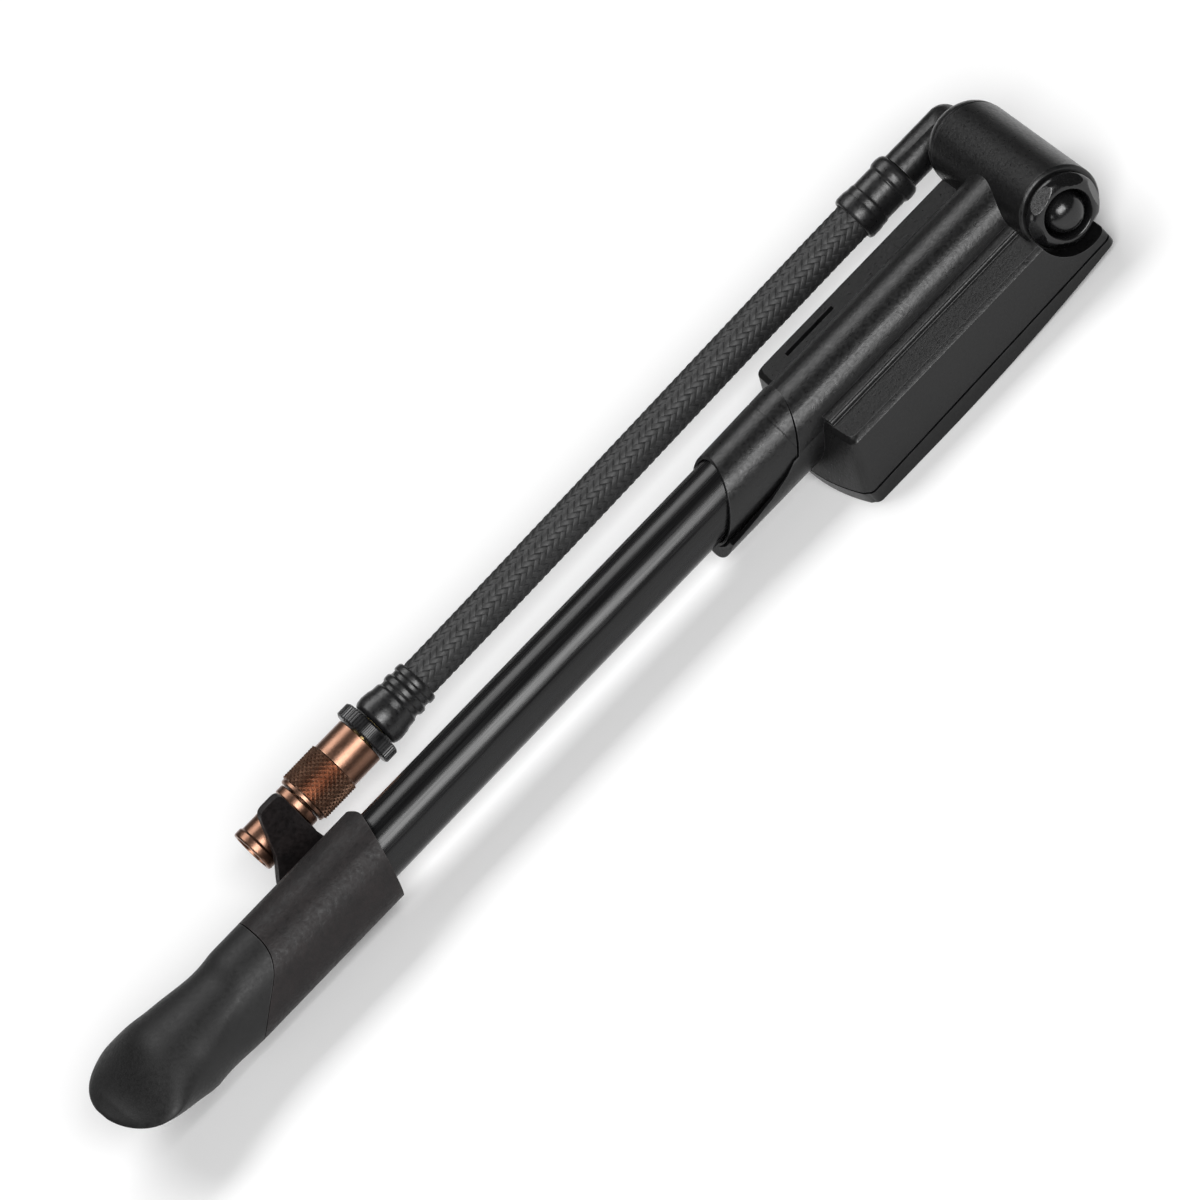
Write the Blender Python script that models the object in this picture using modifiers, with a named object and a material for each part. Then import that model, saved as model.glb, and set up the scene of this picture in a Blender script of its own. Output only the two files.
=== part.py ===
"""Hand-held suspension pump: a gauge head, a sliding handle and a braided hose with a valve chuck.

Sizes are in millimetres and are turned into metres as each mesh is made. The pump frame has x
along the barrel from the end of the handle to the head, +y to the hose side and +z to the back
of the gauge housing, with y = z = 0 on the barrel's axis.
"""
import math

import bmesh
import bpy
from mathutils import Matrix, Vector

MM = 0.001

# Overall frame: where the pump frame's origin sits in the part's own frame
LENGTH = 261.6
AXIS_Y = -7.3
AXIS_Z = 14.6

GAP = 0.3

# Sides of a round of each size
ROUND = 32
SMALL_ROUND = 24
TINY_ROUND = 12

# Barrel and pumping gear
BARREL_R = 6.67
BARREL_BORE_R = 5.35
BARREL_X = (53.0, 188.0)
ROD_R = 2.5
ROD_X = (37.0, 181.0)
PISTON_X = (170.0, 177.0)
PISTON_R = 5.05
GUIDE_X = (51.2, 64.0)

# Handle
HANDLE_R = 9.5
HANDLE_Z = -0.7
HANDLE_BORE_R = 7.4
HANDLE_MOUTH_X = 72.8
MOUTH_SLOPE = 0.36
SEAM_X = 44.9
SEAM_BEND = 0.1
PADDLE_HALF_WIDTH = 14.9
PADDLE_END_LENGTH = 10.0
PADDLE_NARROWING = 7.1
PADDLE_NOSE_X = 3.0
PADDLE_TOP = (1.5, 6.6, 18.0)
PADDLE_BELLY = (1.2, 9.8, 20.0)
LENS_X = (7.0, 18.0)
PADDLE_BLEND_X = (22.0, 33.0)
EAVE_Z = 1.4
EAVE_LIFT = 1.4
SPIGOT_R = 7.1
SPIGOT_END_X = 50.0
PIN_X = 46.5
CLIP_X = (60.0, 69.4)
CLIP_INNER_R = 5.1
CLIP_OUTER_R = 6.7
CLIP_TOP_Z = 10.2

# Hose line: the chuck's axis, and the elbow's pipe at the head
CHUCK_Y = 27.3
ELBOW_Y = 29.4
HOSE_R = 3.9
HOSE_BORE_R = 2.5
HOSE_X = (95.0, 239.8)

# Head
CROSS_X = 252.7
CROSS_R = 8.95
CROSS_Y = (-15.0, 18.8)
CROSS_BORE_R = 5.3
BOX_HALF_WIDTH = 19.6
BOX_END_X = 256.0
BOX_LOW_X = 184.8
BOX_CORNER_X = 187.9
PLATE_LOW_X = 191.0
WALL = 1.8
SEAM_LOW_Z = -11.7
SEAM_SLOPE = 0.0265
FACE_Z = -14.6
FACE_BOW_X = 204.0
FACE_BOW_R = 437.0
COVER_WALL = 1.5
SPINE_R = 8.1
SPINE_FLAT = 0.9
COLLAR_SLOPE = 0.7
COLLAR_LOW_X = 166.5
COLLAR_HIGH_X = 184.8
COLLAR_R = (7.4, 7.9)
KEEL_R = 8.0
KEEL_Z = -2.0
STEP_HALF_WIDTH = 11.2
PLATE_BEVEL = 0.9
ROOM_TOP_Z = -3.2

# Air path: barrel, check valve, bore along the spine, cross-bore with the bleed valve
THROAT_R = 1.0
VALVE_SEAT_X = 190.4
VALVE_CHAMBER_R = 2.2
VALVE_STOP_X = 202.4
BALL_R = 1.3
AIR_BORE_R = 1.3
CROSS_WEB = 2.9
BLEED_PORT_R = 1.9
BLEED_STEM_R = 1.5
SENSOR_X = 236.0

# Gauge stack inside the box
BOARD_Z = (-8.9, -7.7)
BOARD_X = (195.0, 241.4)
BOARD_HALF_WIDTH = 16.8
SCREW_SPOTS = ((200.0, -12.0), (200.0, 12.0), (238.0, -14.7), (238.0, 14.7))
WINDOW_X = (208.0, 240.0)
WINDOW_HALF_WIDTH = 12.0
BUTTON_X = 197.0
BUTTON_R = 3.2

MATT_PLASTIC = ((0.035, 0.034, 0.034), 0.62, 0.0)
SATIN_PLASTIC = ((0.022, 0.022, 0.023), 0.42, 0.0)
GRIP_PLASTIC = ((0.030, 0.026, 0.026), 0.72, 0.0)
ANODISED = ((0.012, 0.012, 0.013), 0.32, 0.6)
BLACK_METAL = ((0.010, 0.010, 0.011), 0.22, 0.7)
COPPER = ((0.45, 0.24, 0.15), 0.28, 1.0)
BRASS = ((0.62, 0.47, 0.22), 0.30, 1.0)
STEEL = ((0.55, 0.55, 0.56), 0.28, 1.0)
RUBBER = ((0.015, 0.015, 0.015), 0.85, 0.0)
BRAID = ((0.055, 0.055, 0.057), 0.70, 0.0)
GLASS = ((0.08, 0.09, 0.09), 0.08, 0.0)
LCD = ((0.30, 0.34, 0.28), 0.35, 0.0)
BOARD = ((0.02, 0.16, 0.07), 0.50, 0.0)
NICKEL = ((0.60, 0.59, 0.56), 0.25, 1.0)

for old in list(bpy.data.objects):
    bpy.data.objects.remove(old, do_unlink=True)

PARTS = bpy.data.collections.new("suspension_pump")
CUTTERS = bpy.data.collections.new("cutters")
bpy.context.scene.collection.children.link(PARTS)
bpy.context.scene.collection.children.link(CUTTERS)


def empty(name, at, parent=None):
    """A frame that moving pieces hang from, at a point given in the pump frame."""
    frame = bpy.data.objects.new(name, None)
    frame.empty_display_size = 0.01
    PARTS.objects.link(frame)
    frame.location = Vector(at) * MM
    frame.parent = parent
    return frame


PUMP = empty("pump_frame", (-LENGTH / 2, AXIS_Y, AXIS_Z))


def add_object(name, mesh, look, frame=None):
    """Puts a mesh made in the pump frame into the part, or with no look among the cutters."""
    obj = bpy.data.objects.new(name, mesh)
    if look is None:
        CUTTERS.objects.link(obj)
        obj.hide_render = True
        obj.display_type = "WIRE"
    else:
        PARTS.objects.link(obj)
        colour, roughness, metallic = look
        mat = bpy.data.materials.new(name)
        mat.use_nodes = True
        shader = mat.node_tree.nodes["Principled BSDF"]
        shader.inputs["Base Color"].default_value = (*colour, 1.0)
        shader.inputs["Roughness"].default_value = roughness
        shader.inputs["Metallic"].default_value = metallic
        mesh.materials.append(mat)
    home = frame or PUMP
    obj.parent = home
    return obj


def origin_shift(frame):
    """The frame's origin in the pump frame, in metres."""
    return Vector((0.0, 0.0, 0.0)) if frame is None else frame.location.copy()


def finish_mesh(name, bm, look, frame=None):
    """Scales a bmesh from millimetres, moves it to its frame and makes its object."""
    bmesh.ops.recalc_face_normals(bm, faces=bm.faces)
    shift = origin_shift(frame)
    for vert in bm.verts:
        vert.co = vert.co * MM - shift
    mesh = bpy.data.meshes.new(name)
    bm.to_mesh(mesh)
    bm.free()
    obj = add_object(name, mesh, look, frame)
    if len(mesh.polygons):
        mesh.shade_smooth()
        mesh.set_sharp_from_angle(angle=math.radians(35))
    return obj


def turned(name, profile, look, at=(0.0, 0.0, 0.0), axis="X", ring=False, steps=ROUND, frame=None):
    """A turned piece. The profile is (along, radius) pairs from the far end down the outside;
    a ring's profile is a closed loop that comes back up the inside."""
    mesh = bpy.data.meshes.new(name)
    points = [(radius * MM, 0.0, along * MM) for along, radius in profile]
    edges = [(i, i + 1) for i in range(len(points) - 1)]
    if ring:
        edges.append((len(points) - 1, 0))
    mesh.from_pydata(points, edges, [])
    obj = add_object(name, mesh, look, frame)
    obj.rotation_euler = {"X": (0, math.pi / 2, 0), "Y": (-math.pi / 2, 0, 0), "Z": (0, 0, 0)}[axis]
    obj.location = Vector(at) * MM - origin_shift(frame)
    screw = obj.modifiers.new("turn", "SCREW")
    screw.axis = "Z"
    screw.steps = steps
    screw.render_steps = steps
    screw.use_merge_vertices = True
    screw.merge_threshold = 0.00001
    screw.use_smooth_shade = True
    return obj


def bar(name, start, end, radius, look=None, steps=ROUND, frame=None, phase=0.5):
    """A plain round bar between two points; phase turns its corners by parts of a facet."""
    a = Vector(start)
    b = Vector(end)
    bm = bmesh.new()
    bmesh.ops.create_cone(bm, cap_ends=True, segments=steps, radius1=radius, radius2=radius,
                          depth=(b - a).length)
    spin = Matrix.Rotation(2 * math.pi * phase / steps, 4, "Z")
    turn = (b - a).to_track_quat("Z", "X").to_matrix().to_4x4() @ spin
    bmesh.ops.transform(bm, matrix=turn, verts=bm.verts)
    bmesh.ops.translate(bm, vec=(a + b) / 2, verts=bm.verts)
    return finish_mesh(name, bm, look, frame)


def block(name, low, high, look=None, frame=None):
    """A box between two corners."""
    bm = bmesh.new()
    bmesh.ops.create_cube(bm, size=1.0)
    for vert in bm.verts:
        vert.co = Vector((low[i] + (vert.co[i] + 0.5) * (high[i] - low[i]) for i in range(3)))
    return finish_mesh(name, bm, look, frame)


def prism(name, outline, plane, low, high, look=None, frame=None):
    """A flat outline, given in two of the axes, drawn out along the third."""
    bm = bmesh.new()
    order = {"XY": (0, 1, 2), "XZ": (0, 2, 1), "YZ": (1, 2, 0)}[plane]
    verts = []
    for first, second in outline:
        co = [0.0, 0.0, 0.0]
        co[order[0]] = first
        co[order[1]] = second
        co[order[2]] = low
        verts.append(bm.verts.new(co))
    face = bm.faces.new(verts)
    moved = bmesh.ops.extrude_face_region(bm, geom=[face])["geom"]
    step = Vector((0.0, 0.0, 0.0))
    step[order[2]] = high - low
    bmesh.ops.translate(bm, vec=step, verts=[v for v in moved if isinstance(v, bmesh.types.BMVert)])
    return finish_mesh(name, bm, look, frame)


def loft(name, rings, look=None, frame=None):
    """A closed solid through rings of equally many points, capped at both ends."""
    bm = bmesh.new()
    made = [[bm.verts.new(point) for point in ring] for ring in rings]
    count = len(made[0])
    for first, second in zip(made, made[1:]):
        for i in range(count):
            j = (i + 1) % count
            bm.faces.new((first[i], first[j], second[j], second[i]))
    bm.faces.new(made[0])
    bm.faces.new(made[-1])
    return finish_mesh(name, bm, look, frame)


def combine(obj, other, operation):
    boolean = obj.modifiers.new(operation.lower(), "BOOLEAN")
    boolean.operation = operation
    boolean.solver = "EXACT"
    boolean.object = other


def cut(obj, *cutters):
    for cutter in cutters:
        combine(obj, cutter, "DIFFERENCE")


def join(obj, *others):
    for other in others:
        combine(obj, other, "UNION")


def arc(centre, radius, start, end, count):
    """Points on an arc, with angles in degrees."""
    points = []
    for i in range(count + 1):
        angle = math.radians(start + (end - start) * i / count)
        points.append((centre[0] + radius * math.cos(angle), centre[1] + radius * math.sin(angle)))
    return points


def wire(name, points, radius, look, frame, resolution):
    """A round wire or tube of constant radius along a list of points, as a closed mesh."""
    data = bpy.data.curves.new(name, "CURVE")
    data.dimensions = "3D"
    data.bevel_depth = radius * MM
    data.bevel_resolution = resolution
    data.use_fill_caps = True
    spline = data.splines.new("POLY")
    spline.points.add(len(points) - 1)
    shift = origin_shift(frame)
    for point, spot in zip(spline.points, points):
        point.co = (*(spot * MM - shift), 1.0)
    path = bpy.data.objects.new(name + "_path", data)
    CUTTERS.objects.link(path)
    bpy.context.view_layer.update()
    mesh = bpy.data.meshes.new_from_object(path.evaluated_get(bpy.context.evaluated_depsgraph_get()))
    bpy.data.objects.remove(path)
    bm = bmesh.new()
    bm.from_mesh(mesh)
    bmesh.ops.remove_doubles(bm, verts=bm.verts, dist=0.00001)
    bmesh.ops.recalc_face_normals(bm, faces=bm.faces)
    bm.to_mesh(mesh)
    bm.free()
    return add_object(name, mesh, look, frame)


def coil(name, start, radius, wire_r, length, turns, axis):
    """A coil spring that runs from its start point along +x or +y."""
    per_turn = 10
    points = []
    for i in range(turns * per_turn + 1):
        angle = 2 * math.pi * i / per_turn
        along = length * i / (turns * per_turn)
        across = radius * math.cos(angle)
        up = radius * math.sin(angle)
        points.append(Vector(start) + Vector((across, along, up) if axis == "Y" else (along, across, up)))
    return wire(name, points, wire_r, STEEL, None, 1)


# ---------------------------------------------------------------- gauge head

def box_outline(low_x, corner_x, half_width, end_x, corner_r):
    """Plan of the gauge box: a bowed low end, straight sides, square head end, rounded corners."""
    points = []
    for side in (1, -1):
        ends = arc((end_x - corner_r, half_width - corner_r), corner_r, 0, 90, 4)
        lows = arc((corner_x + corner_r, half_width - corner_r), corner_r, 90, 165, 4)
        bow = [(low_x + (corner_x - low_x) * (y / half_width) ** 2, y)
               for y in (half_width * 0.66, half_width * 0.33)]
        run = ends + lows + bow
        if side < 0:
            run = [(x, -y) for x, y in reversed(run)]
        points += run
        if side > 0:
            points.append((low_x, 0.0))
    return points


def seam_z(x):
    """Height of the joint between the rear housing and the front cover."""
    return SEAM_LOW_Z + (x - BOX_CORNER_X) * SEAM_SLOPE


def face_z(x):
    """Height of the front cover's face, flat at the low end and bowed towards the head."""
    return FACE_Z + max(0.0, x - FACE_BOW_X) ** 2 / (2 * FACE_BOW_R)


def oblique_cutter(name, x_on_axis, slope, side, frame=None):
    """A big wedge with one face on the plane x = x_on_axis + slope * z, filling x on one side."""
    reach = 16.0
    far = x_on_axis + side * 60.0
    outline = [(x_on_axis - slope * reach, -reach), (far, -reach), (far, reach),
               (x_on_axis + slope * reach, reach)]
    return prism(name, outline, "XZ", -reach, reach, frame=frame)


def make_rear_housing():
    half = BOX_HALF_WIDTH - 0.5
    end = BOX_END_X - 0.2
    inner = box_outline(PLATE_LOW_X + PLATE_BEVEL, PLATE_LOW_X + PLATE_BEVEL + 0.6, half - PLATE_BEVEL,
                        end - PLATE_BEVEL, 1.5)
    plate = box_outline(PLATE_LOW_X, PLATE_LOW_X + 0.6, half, end, 1.5)
    low = box_outline(BOX_LOW_X, BOX_CORNER_X, BOX_HALF_WIDTH, BOX_END_X, 1.5)
    housing = loft("rear_housing", [[(x, y, 0.0) for x, y in inner], [(x, y, -PLATE_BEVEL) for x, y in plate],
                                    [(x, y, seam_z(x)) for x, y in low]], SATIN_PLASTIC)
    # A low step runs along the foot of the spine
    step = block("spine_step", (192.5, -STEP_HALF_WIDTH, -1.0), (248.0, STEP_HALF_WIDTH, 1.0))
    spine = bar("spine_bar", (176.0, 0, 0), (CROSS_X - 3, 0, 0), SPINE_R)
    spine.scale = (1.0, 1.0, SPINE_FLAT)
    cut(spine, oblique_cutter("spine_end", COLLAR_HIGH_X + GAP, COLLAR_SLOPE, -1))
    cross = turned("cross_barrel", [(CROSS_Y[1], 0.0), (CROSS_Y[1], CROSS_R), (CROSS_Y[0] + 0.5, CROSS_R),
                                    (CROSS_Y[0], CROSS_R - 0.5), (CROSS_Y[0], 0.0)],
                   None, at=(CROSS_X, 0, 0), axis="Y")
    # Half a facet of turn keeps its corners off the plate's plane
    cross.rotation_euler.y = math.pi / ROUND
    keel = bar("keel_bar", (158.0, 0, KEEL_Z), (192.4, 0, KEEL_Z), KEEL_R, phase=0.0)
    cut(keel, oblique_cutter("keel_end", COLLAR_LOW_X + 0.8, COLLAR_SLOPE, -1))
    # The keel's upper edge climbs from its tip to the housing
    cut(keel, prism("keel_edge", [(150, -6.2), (165, -6.0), (175, -4.4), (180, -2.9), (184.6, -0.6),
                                  (200, -0.5), (200, 12), (150, 12)], "XZ", -16, 16))
    collar_room = bar("collar_room", (150, 0, 0), (COLLAR_HIGH_X + 7.3, 0, 0), COLLAR_R[1] + 0.25, phase=0.0)
    cut(collar_room, oblique_cutter("room_end", COLLAR_HIGH_X + GAP, COLLAR_SLOPE, 1))
    cut(keel, collar_room)
    posts = [bar("post_%d" % i, (x, y, -1.0), (x, y, BOARD_Z[1] + GAP), 1.9, steps=TINY_ROUND)
             for i, (x, y) in enumerate(SCREW_SPOTS)]
    room = block("gauge_room", (PLATE_LOW_X + 3.0, -BOX_HALF_WIDTH + WALL, -20.0),
                 (242.0, BOX_HALF_WIDTH - WALL, ROOM_TOP_Z))
    join(housing, step, spine, keel)
    cut(housing, room)
    join(housing, *posts)
    join(housing, cross)
    # Clearance round the bleed nut and the elbow's cap where they dip below the plate
    cut(housing, bar("nut_recess", (CROSS_X, CROSS_Y[0] - 0.1, 0), (CROSS_X, -30, 0), CROSS_R + 0.1))
    cut(housing, bar("cap_recess", (CROSS_X, CROSS_Y[1] + 0.1, 0), (CROSS_X, 30, 0), CROSS_R + 0.4))
    cut(housing, bar("barrel_bore", (150, 0, 0), (BARREL_X[1] + GAP, 0, 0), BARREL_R + GAP, phase=0.0))
    cut(housing, bar("valve_throat", (185, 0, 0), (195, 0, 0), THROAT_R, steps=TINY_ROUND))
    cut(housing, bar("valve_chamber", (VALVE_SEAT_X, 0, 0), (VALVE_STOP_X, 0, 0), VALVE_CHAMBER_R,
                     steps=TINY_ROUND))
    cut(housing, bar("air_bore", (VALVE_STOP_X - 1, 0, 0), (CROSS_X + 0.7, 0, 0), AIR_BORE_R,
                     steps=TINY_ROUND))
    cut(housing, bar("elbow_bore", (CROSS_X, CROSS_WEB, 0), (CROSS_X, 30, 0), CROSS_BORE_R, phase=0.25))
    cut(housing, bar("bleed_bore", (CROSS_X, -30, 0), (CROSS_X, -CROSS_WEB, 0), CROSS_BORE_R, phase=0.25))
    cut(housing, bar("bleed_port", (CROSS_X, -3.3, 0), (CROSS_X, 3.3, 0), BLEED_PORT_R, steps=TINY_ROUND))
    cut(housing, bar("sensor_port", (SENSOR_X, 0, -4.0), (SENSOR_X, 0, 0.0), 1.6, steps=TINY_ROUND,
                     phase=0.0))
    for i, (x, y) in enumerate(SCREW_SPOTS):
        cut(housing, bar("post_hole_%d" % i, (x, y, -20), (x, y, -3.0), 1.1, steps=TINY_ROUND))
    cut(housing, block("flange_slot", (198.0, 14.4, -5.0), (211.0, 15.7, 3.0)))
    return housing


def make_front_cover():
    outline = box_outline(BOX_LOW_X, BOX_CORNER_X, BOX_HALF_WIDTH, BOX_END_X, 1.5)
    cover = loft("front_cover", [[(x, y, seam_z(x) - 0.25) for x, y in outline],
                                 [(x, y, FACE_Z) for x, y in outline]], SATIN_PLASTIC)
    bow_xs = [FACE_BOW_X + (BOX_END_X + 4 - FACE_BOW_X) * i / 12 for i in range(13)]
    outside = [(x, face_z(x)) for x in bow_xs] + [(BOX_END_X + 4, -30), (FACE_BOW_X, -30)]
    cut(cover, prism("face_bow", outside, "XZ", -30, 30))
    inner_xs = [188.6] + [x for x in bow_xs if x < BOX_END_X - COVER_WALL]
    inner = [(x, face_z(x) + COVER_WALL) for x in inner_xs]
    inner += [(BOX_END_X - COVER_WALL, face_z(BOX_END_X - COVER_WALL) + COVER_WALL),
              (BOX_END_X - COVER_WALL, 0), (188.6, 0)]
    cut(cover, prism("cover_room", inner, "XZ", -BOX_HALF_WIDTH + WALL, BOX_HALF_WIDTH - WALL))
    cut(cover, block("window_hole", (WINDOW_X[0], -WINDOW_HALF_WIDTH, -30),
                     (WINDOW_X[1], WINDOW_HALF_WIDTH, 0)))
    cut(cover, bar("button_hole", (BUTTON_X, 0, -30), (BUTTON_X, 0, 0), BUTTON_R + GAP, steps=SMALL_ROUND))
    return cover


def make_collar():
    low, high = COLLAR_R
    collar = turned("barrel_collar", [(192.0, high), (158.0, low), (158.0, BARREL_R + GAP),
                                      (192.0, BARREL_R + GAP)], SATIN_PLASTIC, ring=True)
    cut(collar, oblique_cutter("collar_mouth", COLLAR_LOW_X, COLLAR_SLOPE, -1),
        oblique_cutter("collar_back", COLLAR_HIGH_X, COLLAR_SLOPE, 1))


def make_gauge():
    mid_x = sum(WINDOW_X) / 2
    tilt = (mid_x - FACE_BOW_X) / FACE_BOW_R
    half = (WINDOW_X[1] - WINDOW_X[0]) / 2 - GAP
    pane_z = face_z(mid_x) + 1.0
    corners = [(mid_x + s * half * math.cos(tilt) - t * 0.6 * math.sin(tilt),
                pane_z + s * half * math.sin(tilt) + t * 0.6 * math.cos(tilt))
               for s, t in ((-1, -1), (1, -1), (1, 1), (-1, 1))]
    prism("display_window", corners, "XZ", -WINDOW_HALF_WIDTH + GAP, WINDOW_HALF_WIDTH - GAP, GLASS)
    block("display_panel", (207.5, -12.4, -11.2), (240.5, 12.4, -9.3), LCD)
    board = block("circuit_board", (BOARD_X[0], -BOARD_HALF_WIDTH, BOARD_Z[0]),
                  (BOARD_X[1], BOARD_HALF_WIDTH, BOARD_Z[1]), BOARD)
    for i, (x, y) in enumerate(SCREW_SPOTS):
        cut(board, bar("board_hole_%d" % i, (x, y, -12), (x, y, -5), 1.1, steps=TINY_ROUND))
        turned("board_screw_%d" % (i + 1),
               [(-4.2, 0.0), (-4.2, 0.8), (BOARD_Z[0] - GAP, 0.8), (BOARD_Z[0] - GAP, 1.5),
                (BOARD_Z[0] - 1.2, 1.5), (BOARD_Z[0] - 1.2, 0.0)],
               STEEL, at=(x, y, 0), axis="Z", steps=TINY_ROUND)
    turned("coin_battery", [(-3.9, 0.0), (-3.9, 8.6), (-4.4, 9.6), (-7.1, 10.0), (-7.1, 0.0)], NICKEL,
           at=(217.0, 0, 0), axis="Z", steps=SMALL_ROUND)
    turned("pressure_sensor", [(-1.8, 0.0), (-1.8, 1.2), (-4.6, 1.2), (-4.6, 2.6), (BOARD_Z[1] + GAP, 2.6),
                               (BOARD_Z[1] + GAP, 0.0)], STEEL, at=(SENSOR_X, 0, 0), axis="Z",
           steps=TINY_ROUND)


# ---------------------------------------------------------------- barrel and valve

def make_barrel():
    bore_r = BARREL_BORE_R
    low, high = BARREL_X
    turned("barrel_tube", [(high, BARREL_R), (low, BARREL_R), (low, bore_r), (high, bore_r)], ANODISED,
           ring=True)
    inner, outer = ROD_R + GAP, BARREL_R - 0.2
    turned("barrel_guide", [(GUIDE_X[1], bore_r - GAP), (low - GAP, bore_r - GAP), (low - GAP, outer),
                            (GUIDE_X[0], outer), (GUIDE_X[0], inner), (GUIDE_X[1], inner)],
           MATT_PLASTIC, ring=True, steps=SMALL_ROUND)
    turned("rod_seal", [(GUIDE_X[1] + 2.3, bore_r - GAP), (GUIDE_X[1] + 0.3, bore_r - GAP),
                        (GUIDE_X[1] + 0.3, ROD_R + GAP), (GUIDE_X[1] + 2.3, ROD_R + GAP)], RUBBER, ring=True,
           steps=SMALL_ROUND)
    ball_x = VALVE_SEAT_X + math.sqrt(BALL_R ** 2 - THROAT_R ** 2) + GAP
    turned("valve_ball", [(ball_x + BALL_R * math.cos(a * math.pi / 8), BALL_R * math.sin(a * math.pi / 8))
                          for a in range(9)], STEEL, steps=TINY_ROUND)
    coil("valve_spring", (193.4, 0, 0), 1.5, 0.22, 8.4, 5, "X")


# ---------------------------------------------------------------- bleed valve

def make_bleed_valve():
    face = CROSS_Y[0] - GAP
    nut = turned("bleed_nut", [(-8.0, 2.2), (-8.0, 5.0), (face, 5.0), (face, 7.9), (face - 1.4, 7.9),
                               (face - 2.3, 7.3), (face - 2.7, 6.5), (face - 2.7, 5.6), (face - 1.7, 4.8),
                               (-10.0, 4.8), (-10.0, 2.2)],
                 BLACK_METAL, at=(CROSS_X, 0, 0), axis="Y", ring=True)
    for i in range(6):
        angle = math.radians(60 * i + 12)
        reach = 7.15
        flat = block("nut_flat_%d" % i, (reach, face - 2.4, -8), (12, face - 0.9, 8))
        flat.location = Vector((CROSS_X, 0, 0)) * MM
        flat.rotation_euler = (0, angle, 0)
        cut(nut, flat)
    frame = empty("bleed_button_axis", (CROSS_X, -17.0, 0), PUMP)
    dome = [(-15.9 - 4.0 * math.sin(a * math.pi / 12), 4.4 * math.cos(a * math.pi / 12)) for a in range(7)]
    # The stem passes through the port, and its seal closes the port from the inside
    head = CROSS_WEB + 2.0
    stem = [(head + 0.6, 0.0), (head + 0.6, BLEED_STEM_R), (head, BLEED_STEM_R), (head, 0.9),
            (CROSS_WEB, 0.9), (CROSS_WEB, BLEED_STEM_R), (-14.2, BLEED_STEM_R), (-14.2, 4.4)]
    turned("bleed_button", stem + dome, BLACK_METAL, at=(CROSS_X, 0, 0), axis="Y", steps=SMALL_ROUND,
           frame=frame)
    turned("bleed_seal", [(head - GAP, 3.2), (CROSS_WEB + GAP, 3.2), (CROSS_WEB + GAP, 1.2),
                          (head - GAP, 1.2)], RUBBER, at=(CROSS_X, 0, 0), axis="Y", ring=True,
           steps=SMALL_ROUND, frame=frame)
    coil("bleed_spring", (CROSS_X, -13.8, 0), 3.2, 0.35, 3.4, 3, "Y")


# ---------------------------------------------------------------- handle

def paddle_half_width(x):
    """Half-width of the flared end: a round end, then a hollow narrowing to the grip."""
    if x < PADDLE_END_LENGTH:
        reach = (PADDLE_END_LENGTH - x) / PADDLE_END_LENGTH
        return PADDLE_HALF_WIDTH * math.sqrt(max(0.0, 1.0 - reach ** 2))
    past = (x - PADDLE_END_LENGTH) / PADDLE_NARROWING
    return HANDLE_R + (PADDLE_HALF_WIDTH - HANDLE_R) / (1.0 + past ** 1.9)


def share(x, low, high):
    """How far x has come from low to high, from 0 to 1."""
    return min(1.0, max(0.0, (x - low) / (high - low)))


def smooth(share_of_way):
    """An S-curve from 0 to 1."""
    return share_of_way * share_of_way * (3 - 2 * share_of_way)


def paddle_section(x):
    """Points round the flared end at x: a dome above a sharp eave, and a belly below it that is
    lens-shaped at the nose and round towards the grip."""
    nose = math.sqrt(share(x, 0.0, PADDLE_NOSE_X))
    top = PADDLE_TOP[0] * nose + PADDLE_TOP[1] * smooth(share(x, 0.0, PADDLE_TOP[2]))
    fall = 1.0 - (1.0 - share(x, 0.0, PADDLE_BELLY[2])) ** 1.25
    belly = PADDLE_BELLY[0] * nose + PADDLE_BELLY[1] * fall
    fullness = 2.0 - 0.85 * share(x, *LENS_X)
    eave_z = EAVE_Z + EAVE_LIFT * (1.0 - share(x, 0.0, 8.0)) ** 2
    blend = smooth(share(x, *PADDLE_BLEND_X))
    width = paddle_half_width(x)
    points = []
    count = 24
    circle_eave = math.asin((EAVE_Z - HANDLE_Z) / HANDLE_R)
    for i in range(count):
        angle = math.pi * i / count
        flared = (width * math.cos(angle), eave_z + top * math.sin(angle))
        turn = circle_eave + (math.pi - 2 * circle_eave) * i / count
        plain = (HANDLE_R * math.cos(turn), HANDLE_Z + HANDLE_R * math.sin(turn))
        points.append(tuple(flared[k] * (1 - blend) + plain[k] * blend for k in (0, 1)))
    for i in range(count):
        angle = math.pi * i / count
        flared = (-width * math.cos(angle), eave_z - belly * math.sin(angle) ** fullness)
        turn = math.pi - circle_eave + (math.pi + 2 * circle_eave) * i / count
        plain = (HANDLE_R * math.cos(turn), HANDLE_Z + HANDLE_R * math.sin(turn))
        points.append(tuple(flared[k] * (1 - blend) + plain[k] * blend for k in (0, 1)))
    return [(x, y, z) for y, z in points]


def seam_outline(shift, side):
    """The wedge of space on one side of the joint between paddle and grip, seen from the side."""
    curve = []
    for i in range(11):
        z = 8.8 - 8.0 * i / 10
        curve.append((SEAM_X - SEAM_BEND * (8.8 - z) ** 2 + shift, z))
    last_x, last_z = curve[-1]
    curve = [(SEAM_X + shift, 16.0)] + curve + [(last_x - 5.6, -10.4), (last_x - 8.0, -16.0)]
    far = 90.0 if side > 0 else -20.0
    return curve + [(far, -16.0), (far, 16.0)]


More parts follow.
